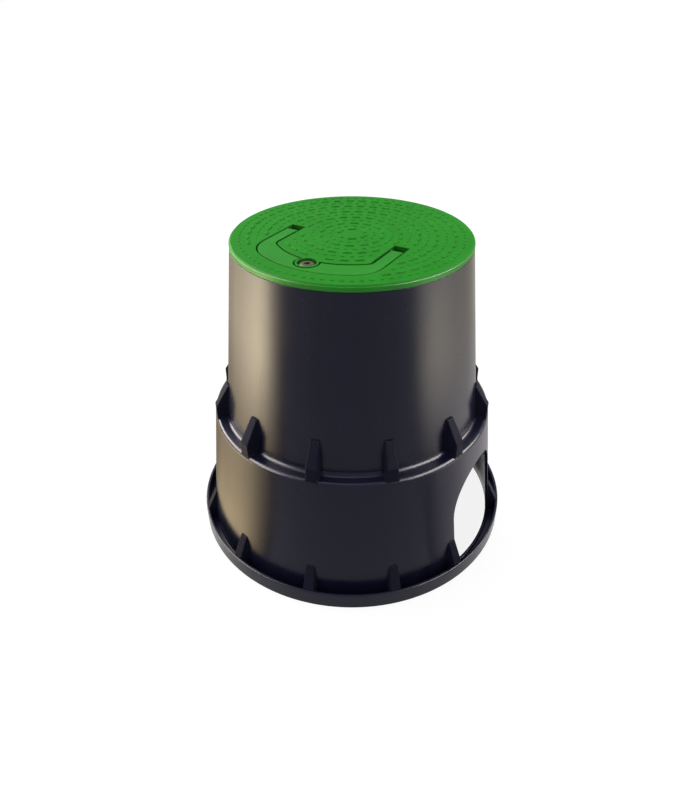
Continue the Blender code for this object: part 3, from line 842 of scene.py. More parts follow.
@dataclass
class GussetRing:
    """Drafted gussets that stand on the body's ledge, and those below them at its foot."""

    body: MouldedBody
    finish: MouldedPlastic
    count: int = 12
    width: float = 0.011
    draft: float = 0.029
    corner_round: float = 0.0012
    root_depth: float = 0.0012
    jamb_clearance: float = 0.0008

    # Flare at the seat, with the shares of its height that get a ring
    flare: float = 0.0009
    flare_steps: tuple[float, ...] = (0.15, 0.4, 0.7, 1)

    # On the ledge
    ledge_gusset_height: float = 0.0345
    ledge_gusset_depth: float = 0.0018
    ledge_tip_round: float = 0.00084
    face_height: float = 0.013
    face_setback: float = 0.0006
    brow_round: float = 0.003
    sink: float = 0.0024

    # At the foot
    foot_gusset_height: float = 0.0385
    foot_gusset_depth: float = 0.0008
    foot_tip_round: float = 0.0006
    lip_drop: float = 0.0004
    toe_round: float = 0.0008

    # Mesh; a round takes no more than the given share of a gusset's depth
    edge_steps: int = 5
    plan_steps: int = 4
    round_share: float = 0.45

    def ledge_gusset(self) -> Gusset:
        """Gusset on the ledge: upright face, then sloping back to the upper wall."""
        seat = self.body.ledge_top
        top = seat + self.ledge_gusset_height
        cone = self.body.envelope.cone_radius
        face = self.body.ledge_radius - self.face_setback
        edge = rounded([
            (face, seat - self.sink, 0),
            (face, seat, 0),
            (face, seat + self.face_height, self.brow_round),
            (cone(top) + self.ledge_gusset_depth, top, self.ledge_tip_round),
            (cone(top), top, 0),
        ], self.edge_steps)[:-1]
        return Gusset(edge, cone, seat)

    def foot_gusset(self) -> Gusset:
        """Gusset at the foot: from the flange's lip up and back to the skirt."""
        body = self.body
        lip_middle = body.base_radius - body.lip_thickness / 2
        top = self.foot_gusset_height
        edge = rounded([
            (lip_middle, body.flange_thickness / 2, 0),
            (lip_middle, body.flange_thickness, 0),
            (lip_middle, body.lip_height - self.lip_drop, self.toe_round),
            (body.skirt_radius(top) + self.foot_gusset_depth, top, self.foot_tip_round),
            (body.skirt_radius(top), top, 0),
        ], self.edge_steps)[:-1]
        return Gusset(edge, body.skirt_radius, body.flange_thickness)

    def plan(self, wall: float, face: float, half_width: float, flare: float) -> Outline:
        """Plan of a gusset at one height, with fillets into the wall and round outer corners.

        Args:
            wall: Radius of the wall there.
            face: Radius of the gusset's outer face.
            half_width: Half the gusset's width.
            flare: Extra half width at its foot.

        Returns:
            The plan's points, with X outwards.
        """
        depth = face - math.sqrt(wall ** 2 - half_width ** 2)
        fillet_radius = min(self.flare, depth * self.round_share)
        corner = min(self.corner_round, depth * self.round_share)
        half = half_width + flare
        outer = half + fillet_radius
        root = math.sqrt(wall ** 2 - outer ** 2)
        right = [Vector((root - self.root_depth, outer))]
        for sweep in spread(0, math.pi / 2, self.plan_steps):
            right.append(Vector((root + fillet_radius * (1 - math.cos(sweep)),
                                 outer - fillet_radius * math.sin(sweep))))
        for sweep in spread(math.pi / 2, 0, self.plan_steps):
            right.append(Vector((face - corner + corner * math.cos(sweep),
                                 half - corner + corner * math.sin(sweep))))
        left = [Vector((point.x, -point.y)) for point in reversed(right)]
        return right + left

    def add(self, moulding: Moulding, gusset: Gusset, azimuth: float) -> None:
        """Adds one gusset.

        Args:
            moulding: Mesh that it is added to.
            gusset: Kind of gusset.
            azimuth: Where it stands.
        """
        turn = Matrix.Rotation(azimuth, 4, "Z")
        top = gusset.outer_edge[-1].y
        levels = []
        for radius, height in gusset.outer_edge:
            levels.append((radius, height))
            if abs(height - gusset.seat) < SAME_HEIGHT:
                levels += [(radius, height + self.flare * share) for share in self.flare_steps]
        rings = []
        for radius, height in levels:
            rise = max(height - (top - self.corner_round), 0)
            crown = self.corner_round - math.sqrt(max(self.corner_round ** 2 - rise ** 2, 0))
            half_width = self.width / 2 - (height - gusset.seat) * self.draft - crown
            lift = 1 - min(max(height - gusset.seat, 0), self.flare) / self.flare
            flare = self.flare * (1 - math.sqrt(1 - lift ** 2))
            plan = self.plan(gusset.wall_radius(height), radius, half_width, flare)
            rings.append(moulding.ring([turn @ Vector((point.x, point.y, height)) for point in plan]))
        moulding.stack(rings)

    def azimuths(self) -> list[tuple[float, float]]:
        """Azimuths of the gussets on the ledge, each with that of the foot gusset below it."""
        beside_jamb = self.body.arch_width / 2 + self.width / 2 + self.jamb_clearance
        jamb = math.asin(beside_jamb / self.body.foot_radius)
        pairs = []
        for index in range(self.count):
            azimuth = 2 * math.pi * (index + 0.5) / self.count
            from_opening = math.remainder(azimuth, math.pi)
            shift = math.copysign(jamb, from_opening) - from_opening if abs(from_opening) < jamb else 0
            pairs.append((azimuth, azimuth + shift))
        return pairs

    def build(self) -> list[bpy.types.Object]:
        """Builds and dresses the gussets as one piece."""
        moulding = Moulding()
        for azimuth, foot_azimuth in self.azimuths():
            self.add(moulding, self.ledge_gusset(), azimuth)
            self.add(moulding, self.foot_gusset(), foot_azimuth)
        gussets = moulding.finish("gussets")
        dress(gussets, self.finish.material(), "box")
        return [gussets]


@dataclass(frozen=True)
class StrapPlan:
    """Sizes and outline that the strap and its channel in the lid share."""

    envelope: Envelope
    inner_half_width: float = 0.0485
    arm_width: float = 0.0105
    inner_reach: float = 0.0700
    outer_reach: float = 0.0892
    inner_round: float = 0.006
    outer_round: float = 0.028
    top_drop: float = 0.0003
    thickness: float = 0.007
    pivot_y: float = -0.0170
    pin_radius: float = 0.0022
    pin_length: float = 0.003
    channel_gap: float = 0.0015
    arm_inner_gap: float = 0.0024
    boss_radius: float = 0.0101
    bolt_y: float = -0.0740
    corner_steps: int = 14
    front_steps: int = 60
    cylinder_steps: int = 40

    @property
    def top(self) -> float:
        """Height of the strap's top."""
        return self.envelope.lid_top - self.top_drop

    @property
    def bottom(self) -> float:
        """Height of the strap's underside."""
        return self.top - self.thickness

    @property
    def outer_half_width(self) -> float:
        """Half the strap's width over its arms."""
        return self.inner_half_width + self.arm_width

    @property
    def pivot_radius(self) -> float:
        """Radius of the arms' round ends."""
        return self.thickness / 2

    @property
    def bolt_axis(self) -> tuple[float, float]:
        """Place of the bolt seen from above."""
        return 0, self.bolt_y

    def curve(self, half_width: float, reach: float, corner_round: float) -> Outline:
        """Curve of the strap's front: an arc about the lid's axis with a corner at each end.

        Args:
            half_width: Distance of the arms from the middle.
            reach: Radius of the arc.
            corner_round: Radius of each corner.

        Returns:
            Its points, from +X to -X.
        """
        corner = Vector((half_width - corner_round, 0))
        corner.y = -math.sqrt((reach - corner_round) ** 2 - corner.x ** 2)
        corner_turn = math.atan2(corner.y, corner.x)
        right = [corner + corner_round * Vector((math.cos(turn), math.sin(turn)))
                 for turn in spread(0, corner_turn, self.corner_steps)][:-1]
        front = [reach * Vector((math.cos(turn), math.sin(turn)))
                 for turn in spread(corner_turn, -math.pi - corner_turn, self.front_steps)]
        left = [Vector((-point.x, point.y)) for point in reversed(right)]
        return right + front + left

    def outline(self, outward: float = 0.0, inward: float = 0.0, arm_end: float | None = None,
                arm_inward: float | None = None) -> Outline:
        """The strap seen from above, grown by two gaps.

        Args:
            outward: Gap on its outside.
            inward: Gap on its inside.
            arm_end: Y place of the arms' ends, or none for the pivots'.
            arm_inward: Gap on the inside of the arms, or none for the same as inward.

        Returns:
            The closed outline.
        """
        end = self.pivot_y if arm_end is None else arm_end
        outer_x = self.outer_half_width + outward
        inner_x = self.inner_half_width - (inward if arm_inward is None else arm_inward)
        outer = self.curve(outer_x, self.outer_reach + outward, self.outer_round + outward)
        inner = self.curve(inner_x, self.inner_reach - inward, self.inner_round - inward)
        right_end = [Vector((inner_x, end)), Vector((outer_x, end))]
        left_end = [Vector((-outer_x, end)), Vector((-inner_x, end))]
        return right_end + outer + left_end + inner[::-1]

    def pivot_cylinder(self, name: str, side: Side, near: float, far: float, radius: float
                       ) -> bpy.types.Object:
        """Makes a cylinder on the pivot axis.

        Args:
            name: Name of the cylinder.
            side: Side of the lid.
            near: Distance of its near end from the middle plane.
            far: Distance of its far end.
            radius: Its radius.

        Returns:
            The cylinder.
        """
        place = Matrix.Translation((0, self.pivot_y, self.top - self.pivot_radius))
        return prism(name, circle(radius, steps=self.cylinder_steps), near, far,
                     place @ Matrix.Rotation(side.value * math.pi / 2, 4, "Y"))


@dataclass(frozen=True)
class TreadMark:
    """One kind of raised anti-slip dash.

    Its shoulder and its insets are shares of its height, and its corners' round of its half width.
    """

    length: float
    width: float
    height: float
    pitch: float
    sink: float = 0.0003
    shoulder: float = 0.75
    shoulder_inset: float = 0.3
    crown_inset: float = 0.66
    corner_share: float = 0.8

    def add(self, moulding: Moulding, place: Matrix) -> None:
        """Adds one mark.

        Args:
            moulding: Mesh that it is added to.
            place: Transform that brings it from the origin, where it lies along Y, to its place.
        """
        levels = ((-self.sink, 0.0), (0.0, 0.0),
                  (self.height * self.shoulder, self.height * self.shoulder_inset),
                  (self.height, self.height * self.crown_inset))
        rings = []
        for height, inset in levels:
            side = self.width / 2 - inset
            end = self.length / 2 - inset
            corner = side * self.corner_share
            plan = rounded([(-side, -end, corner), (side, -end, corner),
                            (side, end, corner), (-side, end, corner)], 3)
            rings.append(moulding.ring([place @ Vector((point.x, point.y, height)) for point in plan]))
        moulding.stack(rings)


@dataclass
class LidCover:
    """Green lid: chamfered plate with tread marks, channel for the strap, bolt boss and ribbed underside."""

    envelope: Envelope
    plan: StrapPlan
    finish: MouldedPlastic

    # Plate with the rounds of its rim, and the round of the edges that are cut into its top
    plate: float = 0.004
    chamfer: float = 0.0017
    top_round: float = 0.0004
    chamfer_round: float = 0.0006
    seam_round: float = 0.0003
    edge_round: float = 0.0005

    # Locating ring, ribs and hub on the hidden side
    spigot_clearance: float = 0.0008
    spigot_thickness: float = 0.0025
    spigot_floor_clearance: float = 0.0005
    spigot_round: float = 0.0004
    spigot_fillet: float = 0.0006
    rib_count: int = 12
    rib_thickness: float = 0.0025
    rib_setback: float = 0.0006
    hub_radius: float = 0.016

    # Channel, pockets and bearings
    channel_floor: float = 0.0025
    channel_wall: float = 0.0025
    pocket_length: float = 0.008
    drain_setback: float = 0.0004
    bearing_cheek: float = 0.0025
    pin_clearance: float = 0.0003
    seat_gap: float = 0.0003

    # Boss of the bolt
    counterbore_radius: float = 0.0084
    counterbore_floor: float = 0.3026
    bore_radius: float = 0.0044
    boss_bottom: float = 0.2925

    # Tread marks
    tread_rows: int = 12
    first_tread_radius: float = 0.0120
    tread_row_pitch: float = 0.0081
    tread_kinds: tuple[TreadMark, TreadMark] = (
        TreadMark(length=0.0083, width=0.0030, height=0.0009, pitch=0.0128),
        TreadMark(length=0.0040, width=0.0018, height=0.0005, pitch=0.0078),
    )
    tread_room: float = 0.0012
    tread_clearance: float = 0.0024
    least_treads: int = 4

    # Mesh, and how far a tool stands out of what it cuts
    columns: int = 288
    round_steps: int = 4
    bore_steps: int = 40
    margin: float = 0.002

    @property
    def spigot_radius(self) -> float:
        """Outer radius of the locating ring."""
        return self.envelope.mouth_radius - self.envelope.wall - self.spigot_clearance

    @property
    def spigot_bottom(self) -> float:
        """Height of the locating ring's lower edge."""
        return self.envelope.catch_top + self.spigot_floor_clearance

    @property
    def channel_bottom(self) -> float:
        """Height of the channel's floor."""
        return self.plan.bottom - self.seat_gap

    @property
    def pocket_end(self) -> float:
        """Y place at which the pockets behind the arms end."""
        return self.plan.pivot_y + self.plan.pivot_radius + self.pocket_length

    def plate_body(self) -> bpy.types.Object:
        """Turned plate with its chamfered rim and locating ring."""
        top = self.envelope.lid_top
        radius = self.envelope.mouth_radius
        plate_bottom = top - self.plate
        ring_inner = self.spigot_radius - self.spigot_thickness
        profile = rounded([
            (0, top, 0),
            (radius - self.chamfer, top, self.top_round),
            (radius, top - self.chamfer, self.chamfer_round),
            (radius, self.envelope.lid_bottom, self.seam_round),
            (self.spigot_radius, self.envelope.lid_bottom, self.seam_round),
            (self.spigot_radius, self.spigot_bottom, self.spigot_round),
            (ring_inner, self.spigot_bottom, self.spigot_round),
            (ring_inner, plate_bottom, self.spigot_fillet),
            (0, plate_bottom, 0),
        ], self.round_steps)
        moulding = Moulding()
        moulding.turned(profile, self.columns)
        return moulding.finish("lid_cover")

    def ribs(self) -> bpy.types.Object:
        """Stiffening ribs under the plate."""
        near = self.hub_radius - self.rib_thickness
        far = self.spigot_radius - self.spigot_thickness / 2
        half = self.rib_thickness / 2
        outline = [Vector(corner) for corner in ((near, -half), (far, -half), (far, half), (near, half))]
        moulding = Moulding()
        for index in range(self.rib_count):
            turn = Matrix.Rotation(2 * math.pi * index / self.rib_count, 4, "Z")
            moulding.prism(outline, self.spigot_bottom + self.rib_setback,
                           self.envelope.lid_top - self.plate / 2, turn)
        return moulding.finish("lid_ribs")

    def side_box(self, name: str, side: Side, near: float, far: float, front: float, back: float,
                 bottom: float, top: float) -> bpy.types.Object:
        """Makes a block on one side of the lid.

        Args:
            name: Name of the block.
            side: Side of the lid.
            near: Distance of its near face from the middle plane.
            far: Distance of its far face.
            front: Lower Y place.
            back: Upper Y place.
            bottom: Height of its underside.
            top: Height of its top.

        Returns:
            The block.
        """
        corners = [(near, front), (far, front), (far, back), (near, back)]
        outline = [Vector((side.value * x, y)) for x, y in corners]
        return prism(name, outline, bottom, top)

    def tools(self) -> list[tuple[bpy.types.Object, Cut]]:
        """Tool bodies that make the lid out of its plate, in order."""
        plan = self.plan
        top = self.envelope.lid_top
        middle = top - self.plate / 2
        above = top + self.margin
        gap = plan.channel_gap
        wall = gap + self.channel_wall
        tray_bottom = self.channel_bottom - self.channel_floor
        bearing_reach = plan.outer_half_width + plan.pin_length + self.seat_gap
        bearing_half = plan.pin_radius + self.bearing_cheek
        tray = prism("tray", plan.outline(wall, wall, self.pocket_end + self.channel_wall,
                                          plan.arm_inner_gap + self.channel_wall), tray_bottom, middle)
        channel = prism("channel", plan.outline(gap, gap, self.pocket_end, plan.arm_inner_gap),
                        self.channel_bottom, above)
        keep = prism("keep", circle(plan.boss_radius, plan.bolt_axis),
                     self.channel_bottom - self.margin, above + self.margin)
        shape(channel, [(keep, Cut.REMOVE)])
        hub = prism("hub", circle(self.hub_radius), self.spigot_bottom + self.rib_setback / 2, middle)
        boss = prism("boss", circle(plan.boss_radius, plan.bolt_axis), self.boss_bottom, middle)

        joined = [self.ribs(), hub, tray, boss]
        for side in Side:
            joined.append(self.side_box("bearing", side, plan.inner_half_width,
                                        bearing_reach + self.bearing_cheek,
                                        plan.pivot_y - bearing_half, plan.pivot_y + bearing_half,
                                        tray_bottom, middle))
        removed = [channel]
        for side in Side:
            removed.append(self.side_box("drain", side,
                                         plan.inner_half_width - plan.arm_inner_gap + self.drain_setback,
                                         plan.outer_half_width + gap - self.drain_setback,
                                         plan.pivot_y + plan.pivot_radius,
                                         self.pocket_end - self.drain_setback,
                                         self.spigot_bottom - self.margin, above))
            removed.append(plan.pivot_cylinder("bearing_bore", side, plan.outer_half_width,
                                               bearing_reach, plan.pin_radius + self.pin_clearance))
        removed.append(prism("counterbore", circle(self.counterbore_radius, plan.bolt_axis),
                             self.counterbore_floor, above))
        removed.append(prism("bolt_bore", circle(self.bore_radius, plan.bolt_axis, self.bore_steps),
                             self.boss_bottom - self.margin, above + self.margin))
        return [(tool, Cut.JOIN) for tool in joined] + [(tool, Cut.REMOVE) for tool in removed]

    def clear_of_channel(self, place: Vector, reach: float) -> bool:
        """Whether a tread mark may stand at a place, clear of the strap and the boss.

        Args:
            place: Middle of the mark.
            reach: Room that it needs round its middle.

        Returns:
            True where nothing is in its way.
        """
        plan = self.plan
        radius = place.length
        beside_arm = (plan.inner_half_width - plan.arm_inner_gap - reach < abs(place.x)
                      < plan.outer_half_width + plan.channel_gap + reach)
        in_arm = beside_arm and -plan.outer_reach < place.y < self.pocket_end + reach
        in_front = (place.y < plan.pivot_y and abs(place.x) < plan.outer_half_width + reach
                    and plan.inner_reach - plan.channel_gap - self.tread_clearance < radius
                    < plan.outer_reach + plan.channel_gap + self.tread_clearance)
        near_boss = (place - Vector((0, plan.bolt_y))).length < plan.boss_radius + reach
        return not (in_arm and radius < plan.outer_reach + reach or in_front or near_boss)

    def tread_marks(self) -> bpy.types.Object:
        """Raised dashes in rings all over the plate, with short ones in the rings between."""
        moulding = Moulding()
        top = self.envelope.lid_top
        for row in range(self.tread_rows):
            radius = self.first_tread_radius + row * self.tread_row_pitch
            mark = self.tread_kinds[row % 2]
            count = max(round(2 * math.pi * radius / mark.pitch), self.least_treads)
            for index in range(count):
                azimuth = 2 * math.pi * (index + 0.5 * (row // 2 % 2)) / count
                place = radius * Vector((math.cos(azimuth), math.sin(azimuth)))
                if self.clear_of_channel(place, mark.length / 2 + self.tread_room):
                    turn = Matrix.Rotation(azimuth, 4, "Z") @ Matrix.Translation((radius, 0, top))
                    mark.add(moulding, turn)
        return moulding.finish("tread_marks")

    def build(self) -> list[bpy.types.Object]:
        """Builds and dresses the lid and its tread marks."""
        top = self.envelope.lid_top
        cover = self.plate_body()
        shape(cover, self.tools())
        round_edges(cover, self.edge_round,
                    wanted=lambda edge: min(vertex.co.z for vertex in edge.verts) > top - WELD)
        marks = self.tread_marks()
        material = self.finish.material()
        dress(cover, material, "lid", "lid")
        dress(marks, material, "lid")
        return [cover, marks]


@dataclass
class CarryingStrap:
    """Green folding strap that lies in the lid's channel and turns on its two pins."""

    plan: StrapPlan
    finish: MouldedPlastic
    pivot_shoulder: float = 0.0004
    edge_round: float = 0.0007
    margin: float = 0.002

    def tools(self) -> list[tuple[bpy.types.Object, Cut]]:
        """Tool bodies that round the arms' ends, add the pins and clear the boss, in order."""
        plan = self.plan
        steps = []
        for side in Side:
            arm_end = plan.pivot_cylinder("arm_end", side, plan.inner_half_width - self.pivot_shoulder,
                                          plan.outer_half_width + self.pivot_shoulder, plan.pivot_radius)
            pin = plan.pivot_cylinder("pin", side, plan.outer_half_width - self.margin,
                                      plan.outer_half_width + plan.pin_length, plan.pin_radius)
            steps += [(arm_end, Cut.JOIN), (pin, Cut.JOIN)]
        notch = prism("notch", circle(plan.boss_radius + plan.channel_gap, plan.bolt_axis),
                      plan.bottom - self.margin, plan.top + self.margin)
        return [*steps, (notch, Cut.REMOVE)]

    def build(self) -> list[bpy.types.Object]:
        """Builds and dresses the strap."""
        plan = self.plan
        strap = prism("carrying_strap", plan.outline(), plan.bottom, plan.top)
        shape(strap, self.tools())
        arm_front = plan.pivot_y - plan.pivot_radius
        round_edges(strap, self.edge_round,
                    wanted=lambda edge: max(vertex.co.y for vertex in edge.verts) < arm_front)
        dress(strap, self.finish.material(), "handle", "handle")
        return [strap]


@dataclass
class LidLock:
    """Bolt, washer, latch bar and nut that turn together in the lid's boss."""

    finish: PlatedSteel
    bolt_y: float
    bore_radius: float = 0.0044

    # Bolt
    bolt_radius: float = 0.004
    bolt_bottom: float = 0.2794
    bolt_tip_round: float = 0.0008
    head_radius: float = 0.0070
    head_top: float = 0.3092
    head_bottom: float = 0.3048
    head_crown: float = 0.0030
    head_edge_round: float = 0.0002
    socket_width: float = 0.005
    socket_depth: float = 0.0026

    # Washer
    washer_radius: float = 0.008
    washer_top: float = 0.3045
    washer_bottom: float = 0.3029
    washer_rim_round: float = 0.0003
    washer_bore_round: float = 0.0002

    # Latch bar; its round end keeps a short flat
    latch_top: float = 0.2922
    latch_bottom: float = 0.2882
    latch_reach: float = 0.0296
    latch_width: float = 0.016
    latch_corner: float = 0.003
    latch_end_flat: float = 0.0003
    latch_edge_round: float = 0.0004

    # Nut, and the cone that chamfers its corners
    nut_width: float = 0.013
    nut_top: float = 0.2879
    nut_bottom: float = 0.2814
    nut_chamfer: float = 0.0008
    cone_inset: float = 0.0002
    cone_reach: float = 0.0013
    cone_margin: float = 0.0001

    # Mesh, and how far a tool stands out of what it cuts
    turning_steps: int = 96
    bore_steps: int = 48
    round_steps: int = 8
    latch_round_steps: int = 16
    margin: float = 0.001

    def hexagon(self, width: float) -> Outline:
        """Hexagon on the bolt's axis, given its width across flats."""
        return circle(width / 2 / math.cos(math.pi / 6), (0, self.bolt_y), 6)

    def bored(self, piece: bpy.types.Object, bottom: float, top: float) -> None:
        """Makes the hole for the bolt in a piece between two heights."""
        hole = prism("hole", circle(self.bore_radius, (0, self.bolt_y), self.bore_steps),
                     bottom - self.margin, top + self.margin)
        shape(piece, [(hole, Cut.REMOVE)])

    def turned(self, name: str, corners: Sequence[tuple[float, float, float]]) -> bpy.types.Object:
        """Makes a turned piece on the bolt's axis.

        Args:
            name: Name of the piece.
            corners: Its section as (radius, height, round).

        Returns:
            The piece.
        """
        moulding = Moulding()
        moulding.turned(rounded(corners, self.round_steps), self.turning_steps)
        piece = moulding.finish(name)
        piece.data.transform(Matrix.Translation((0, self.bolt_y, 0)))
        return piece

    def bolt(self) -> bpy.types.Object:
        """Button-head bolt with a hexagon socket."""
        bolt = self.turned("button_bolt", [
            (0, self.bolt_bottom, 0),
            (self.bolt_radius, self.bolt_bottom, self.bolt_tip_round),
            (self.bolt_radius, self.head_bottom, 0),
            (self.head_radius, self.head_bottom, self.head_edge_round),
            (self.head_radius, self.head_top, self.head_crown),
            (0, self.head_top, 0),
        ])
        socket = prism("socket", self.hexagon(self.socket_width), self.head_top - self.socket_depth,
                       self.head_top + self.margin)
        shape(bolt, [(socket, Cut.REMOVE)])
        round_edges(bolt, self.head_edge_round, segments=2, crease=50.0,
                    wanted=lambda edge: min(vertex.co.z for vertex in edge.verts) > self.head_top - WELD)
        return bolt

    def washer(self) -> bpy.types.Object:
        """Flat washer with softened edges."""
        return self.turned("flat_washer", [
            (self.bore_radius, self.washer_bottom, self.washer_bore_round),
            (self.washer_radius, self.washer_bottom, self.washer_rim_round),
            (self.washer_radius, self.washer_top, self.washer_rim_round),
            (self.bore_radius, self.washer_top, self.washer_bore_round),
        ])

    def latch(self) -> bpy.types.Object:
        """Latch bar with one round end, unlocked along +X."""
        half = self.latch_width / 2
        front, back = self.bolt_y - half, self.bolt_y + half
        outline = rounded([
            (-half, front, half - self.latch_end_flat),
            (self.latch_reach, front, self.latch_corner),
            (self.latch_reach, back, self.latch_corner),
            (-half, back, half - self.latch_end_flat),
        ], self.latch_round_steps)
        bar = prism("latch_plate", outline, self.latch_bottom, self.latch_top)
        self.bored(bar, self.latch_bottom, self.latch_top)
        round_edges(bar, self.latch_edge_round, segments=2)
        return bar

    def nut(self) -> bpy.types.Object:
        """Hexagon nut with chamfered corners."""
        nut = prism("hexagon_nut", self.hexagon(self.nut_width), self.nut_bottom, self.nut_top)
        face = self.nut_width / 2 - self.cone_inset
        reach = self.nut_width / 2 + self.cone_reach
        below, above = self.nut_bottom - self.cone_margin, self.nut_top + self.cone_margin
        cone = self.turned("nut_cone", [
            (0, below, 0),
            (face, below, 0),
            (reach, self.nut_bottom + self.nut_chamfer, 0),
            (reach, self.nut_top - self.nut_chamfer, 0),
            (face, above, 0),
            (0, above, 0),
        ])
        shape(nut, [(cone, Cut.KEEP)])
        self.bored(nut, self.nut_bottom, self.nut_top)
        return nut

    def build(self) -> list[bpy.types.Object]:
        """Builds and dresses the four pieces of the lock."""
        material = self.finish.material()
        pieces = {"lock_bolt": self.bolt(), "lock_washer": self.washer(), "latch_bar": self.latch(),
                  "lock_nut": self.nut()}
        for node, piece in pieces.items():
            dress(piece, material, "lock", node)
        return list(pieces.values())


@dataclass(frozen=True)
class SoftSky:
    """Broad lamp above the object that lights the lid and the floor evenly."""

    name: str = "soft_sky"
    come_from: tuple[float, float, float] = (-0.25, 0.35, 1.0)
    spread_angle: float = 60.0
    strength: float = 0.65

    def build(self, stand: Matrix) -> None:
        """Adds the lamp.

        Args:
            stand: Transform from the camera's directions (right, away, up) to the scene.
        """
        light = bpy.data.lights.new(self.name, "SUN")
        light.energy = self.strength * math.pi
        light.angle = math.radians(self.spread_angle)
        facing = Vector(self.come_from).to_track_quat("Z", "Y").to_matrix().to_4x4()
        place_in_scene(self.name, light, stand @ facing)


@dataclass(frozen=True)
class SidePanel:
    """Upright lamp beside and above the object, only seen as bright lines along its rounded edges."""

    name: str
    azimuth: float
    radiance: float
    colour: Colour
    width: float
    distance: float = 1.9
    low_elevation: float = 20.0
    high_elevation: float = 56.0

    def build(self, stand: Matrix) -> None:
        """Adds the lamp.

        Args:
            stand: Transform from the camera's directions (right, away, up) to the scene.
        """
        low, high = [self.distance * math.tan(math.radians(elevation))
                     for elevation in (self.low_elevation, self.high_elevation)]
        light = bpy.data.lights.new(self.name, "AREA")
        light.shape = "RECTANGLE"
        light.size, light.size_y = self.width, high - low
        light.energy = self.radiance * math.pi * light.size * light.size_y
        light.color = self.colour
        turn = math.radians(self.azimuth)
        away = Vector((math.sin(turn), -math.cos(turn), 0))
        facing = away.to_track_quat("Z", "Y").to_matrix().to_4x4()
        middle = away * self.distance + Vector((0, 0, (low + high) / 2))
        lamp = place_in_scene(self.name, light, stand @ Matrix.Translation(middle) @ facing)
        lamp.visible_camera = False
        lamp.visible_diffuse = False


@dataclass(frozen=True)
class LightTable:
    """Glowing sheet on the floor beside the object, which the upright walls mirror.

    Each station is an azimuth with the light near the object's foot and the full light farther out.
    """

    name: str
    stations: tuple[tuple[float, float, float], ...]
    colour: Colour
    foot_colour: Colour
    wall_radius: float = 0.135
    clearance: float = 0.172
    near_reach: float = 0.24
    full_reach: float = 0.55
    length: float = 1.6
    height: float = 0.004
    columns: int = 40
    rows: int = 30
    search_step: float = 0.001

    def edge_point(self, azimuth: float, reach: float) -> Vector:
        """Point that a wall mirrors from an azimuth, in degrees to the right of the camera.

        Args:
            azimuth: Direction of the mirrored ray.
            reach: Its length along the floor.

        Returns:
            The point, as the camera sees the floor: right, away, up.
        """
        turn = math.radians(azimuth)
        right = self.wall_radius * math.sin(turn / 2) + reach * math.sin(turn)
        away = -self.wall_radius * math.cos(turn / 2) - reach * math.cos(turn)
        return Vector((right, away, self.height))

    def glow(self, azimuth: float, rise: float) -> Vector:
        """Light that the sheet gives at one point.

        Args:
            azimuth: Direction of the mirrored ray.
            rise: Share of the way from the object's foot to the sheet's full strength.

        Returns:
            The light as a colour.
        """
        for (start, foot, full), (end, next_foot, next_full) in zip(self.stations, self.stations[1:]):
            share = (azimuth - start) / (end - start)
            if share <= 1:
                break
        foot += (next_foot - foot) * share
        full += (next_full - full) * share
        return rise * full * Vector(self.colour) + (1 - rise) * foot * Vector(self.foot_colour)

    def sheet(self) -> bpy.types.Object:
        """Makes the sheet, with its light as a colour on each vertex."""
        moulding = Moulding()
        layer = moulding.mesh.verts.layers.float_color.new("glow")
        rows = []
        for azimuth in spread(self.stations[0][0], self.stations[-1][0], self.columns):
            reach = 0.0
            while self.edge_point(azimuth, reach).to_2d().length < self.clearance:
                reach += self.search_step
            lengths = [reach + (self.length - reach) * share ** 2 for share in spread(0, 1, self.rows)]
            row = moulding.ring([self.edge_point(azimuth, length) for length in lengths])
            for vertex, length in zip(row, lengths):
                rise = (length - self.near_reach) / (self.full_reach - self.near_reach)
                vertex[layer] = (*self.glow(azimuth, min(max(rise, 0), 1)), 1)
            rows.append(row)
        for row, after in zip(rows, rows[1:]):
            moulding.bridge(row, after, closed=False)
        return moulding.finish(self.name)

    def material(self) -> bpy.types.Material:
        """Makes the material, which glows on its upper side and is clear from below."""
        material = bpy.data.materials.new(self.name)
        graph = Graph(material)
        glow_colour = graph.add("ShaderNodeVertexColor", {"layer_name": "glow"}, output="Color")
        front = graph.add("ShaderNodeBsdfPrincipled", None, {
            "Base Color": (0, 0, 0, 1), "Specular IOR Level": 0.0,
            "Emission Color": glow_colour, "Emission Strength": 1.0})
        underside = graph.add("ShaderNodeNewGeometry", output="Backfacing")
        clear = graph.add("ShaderNodeBsdfTransparent")
        graph.surface(graph.add("ShaderNodeMixShader", None, {0: underside, 1: front, 2: clear}))
        return material

    def build(self, stand: Matrix) -> None:
        """Adds the sheet, which only glossy surfaces see.

        Args:
            stand: Transform from the camera's directions to the scene.
        """
        sheet = self.sheet()
        if sheet.data.polygons[0].normal.z < 0:
            sheet.data.flip_normals()
        sheet.data.transform(stand)
        sheet.data.materials.append(self.material())
        sheet.visible_camera = False
        sheet.visible_diffuse = False
        sheet.visible_shadow = False


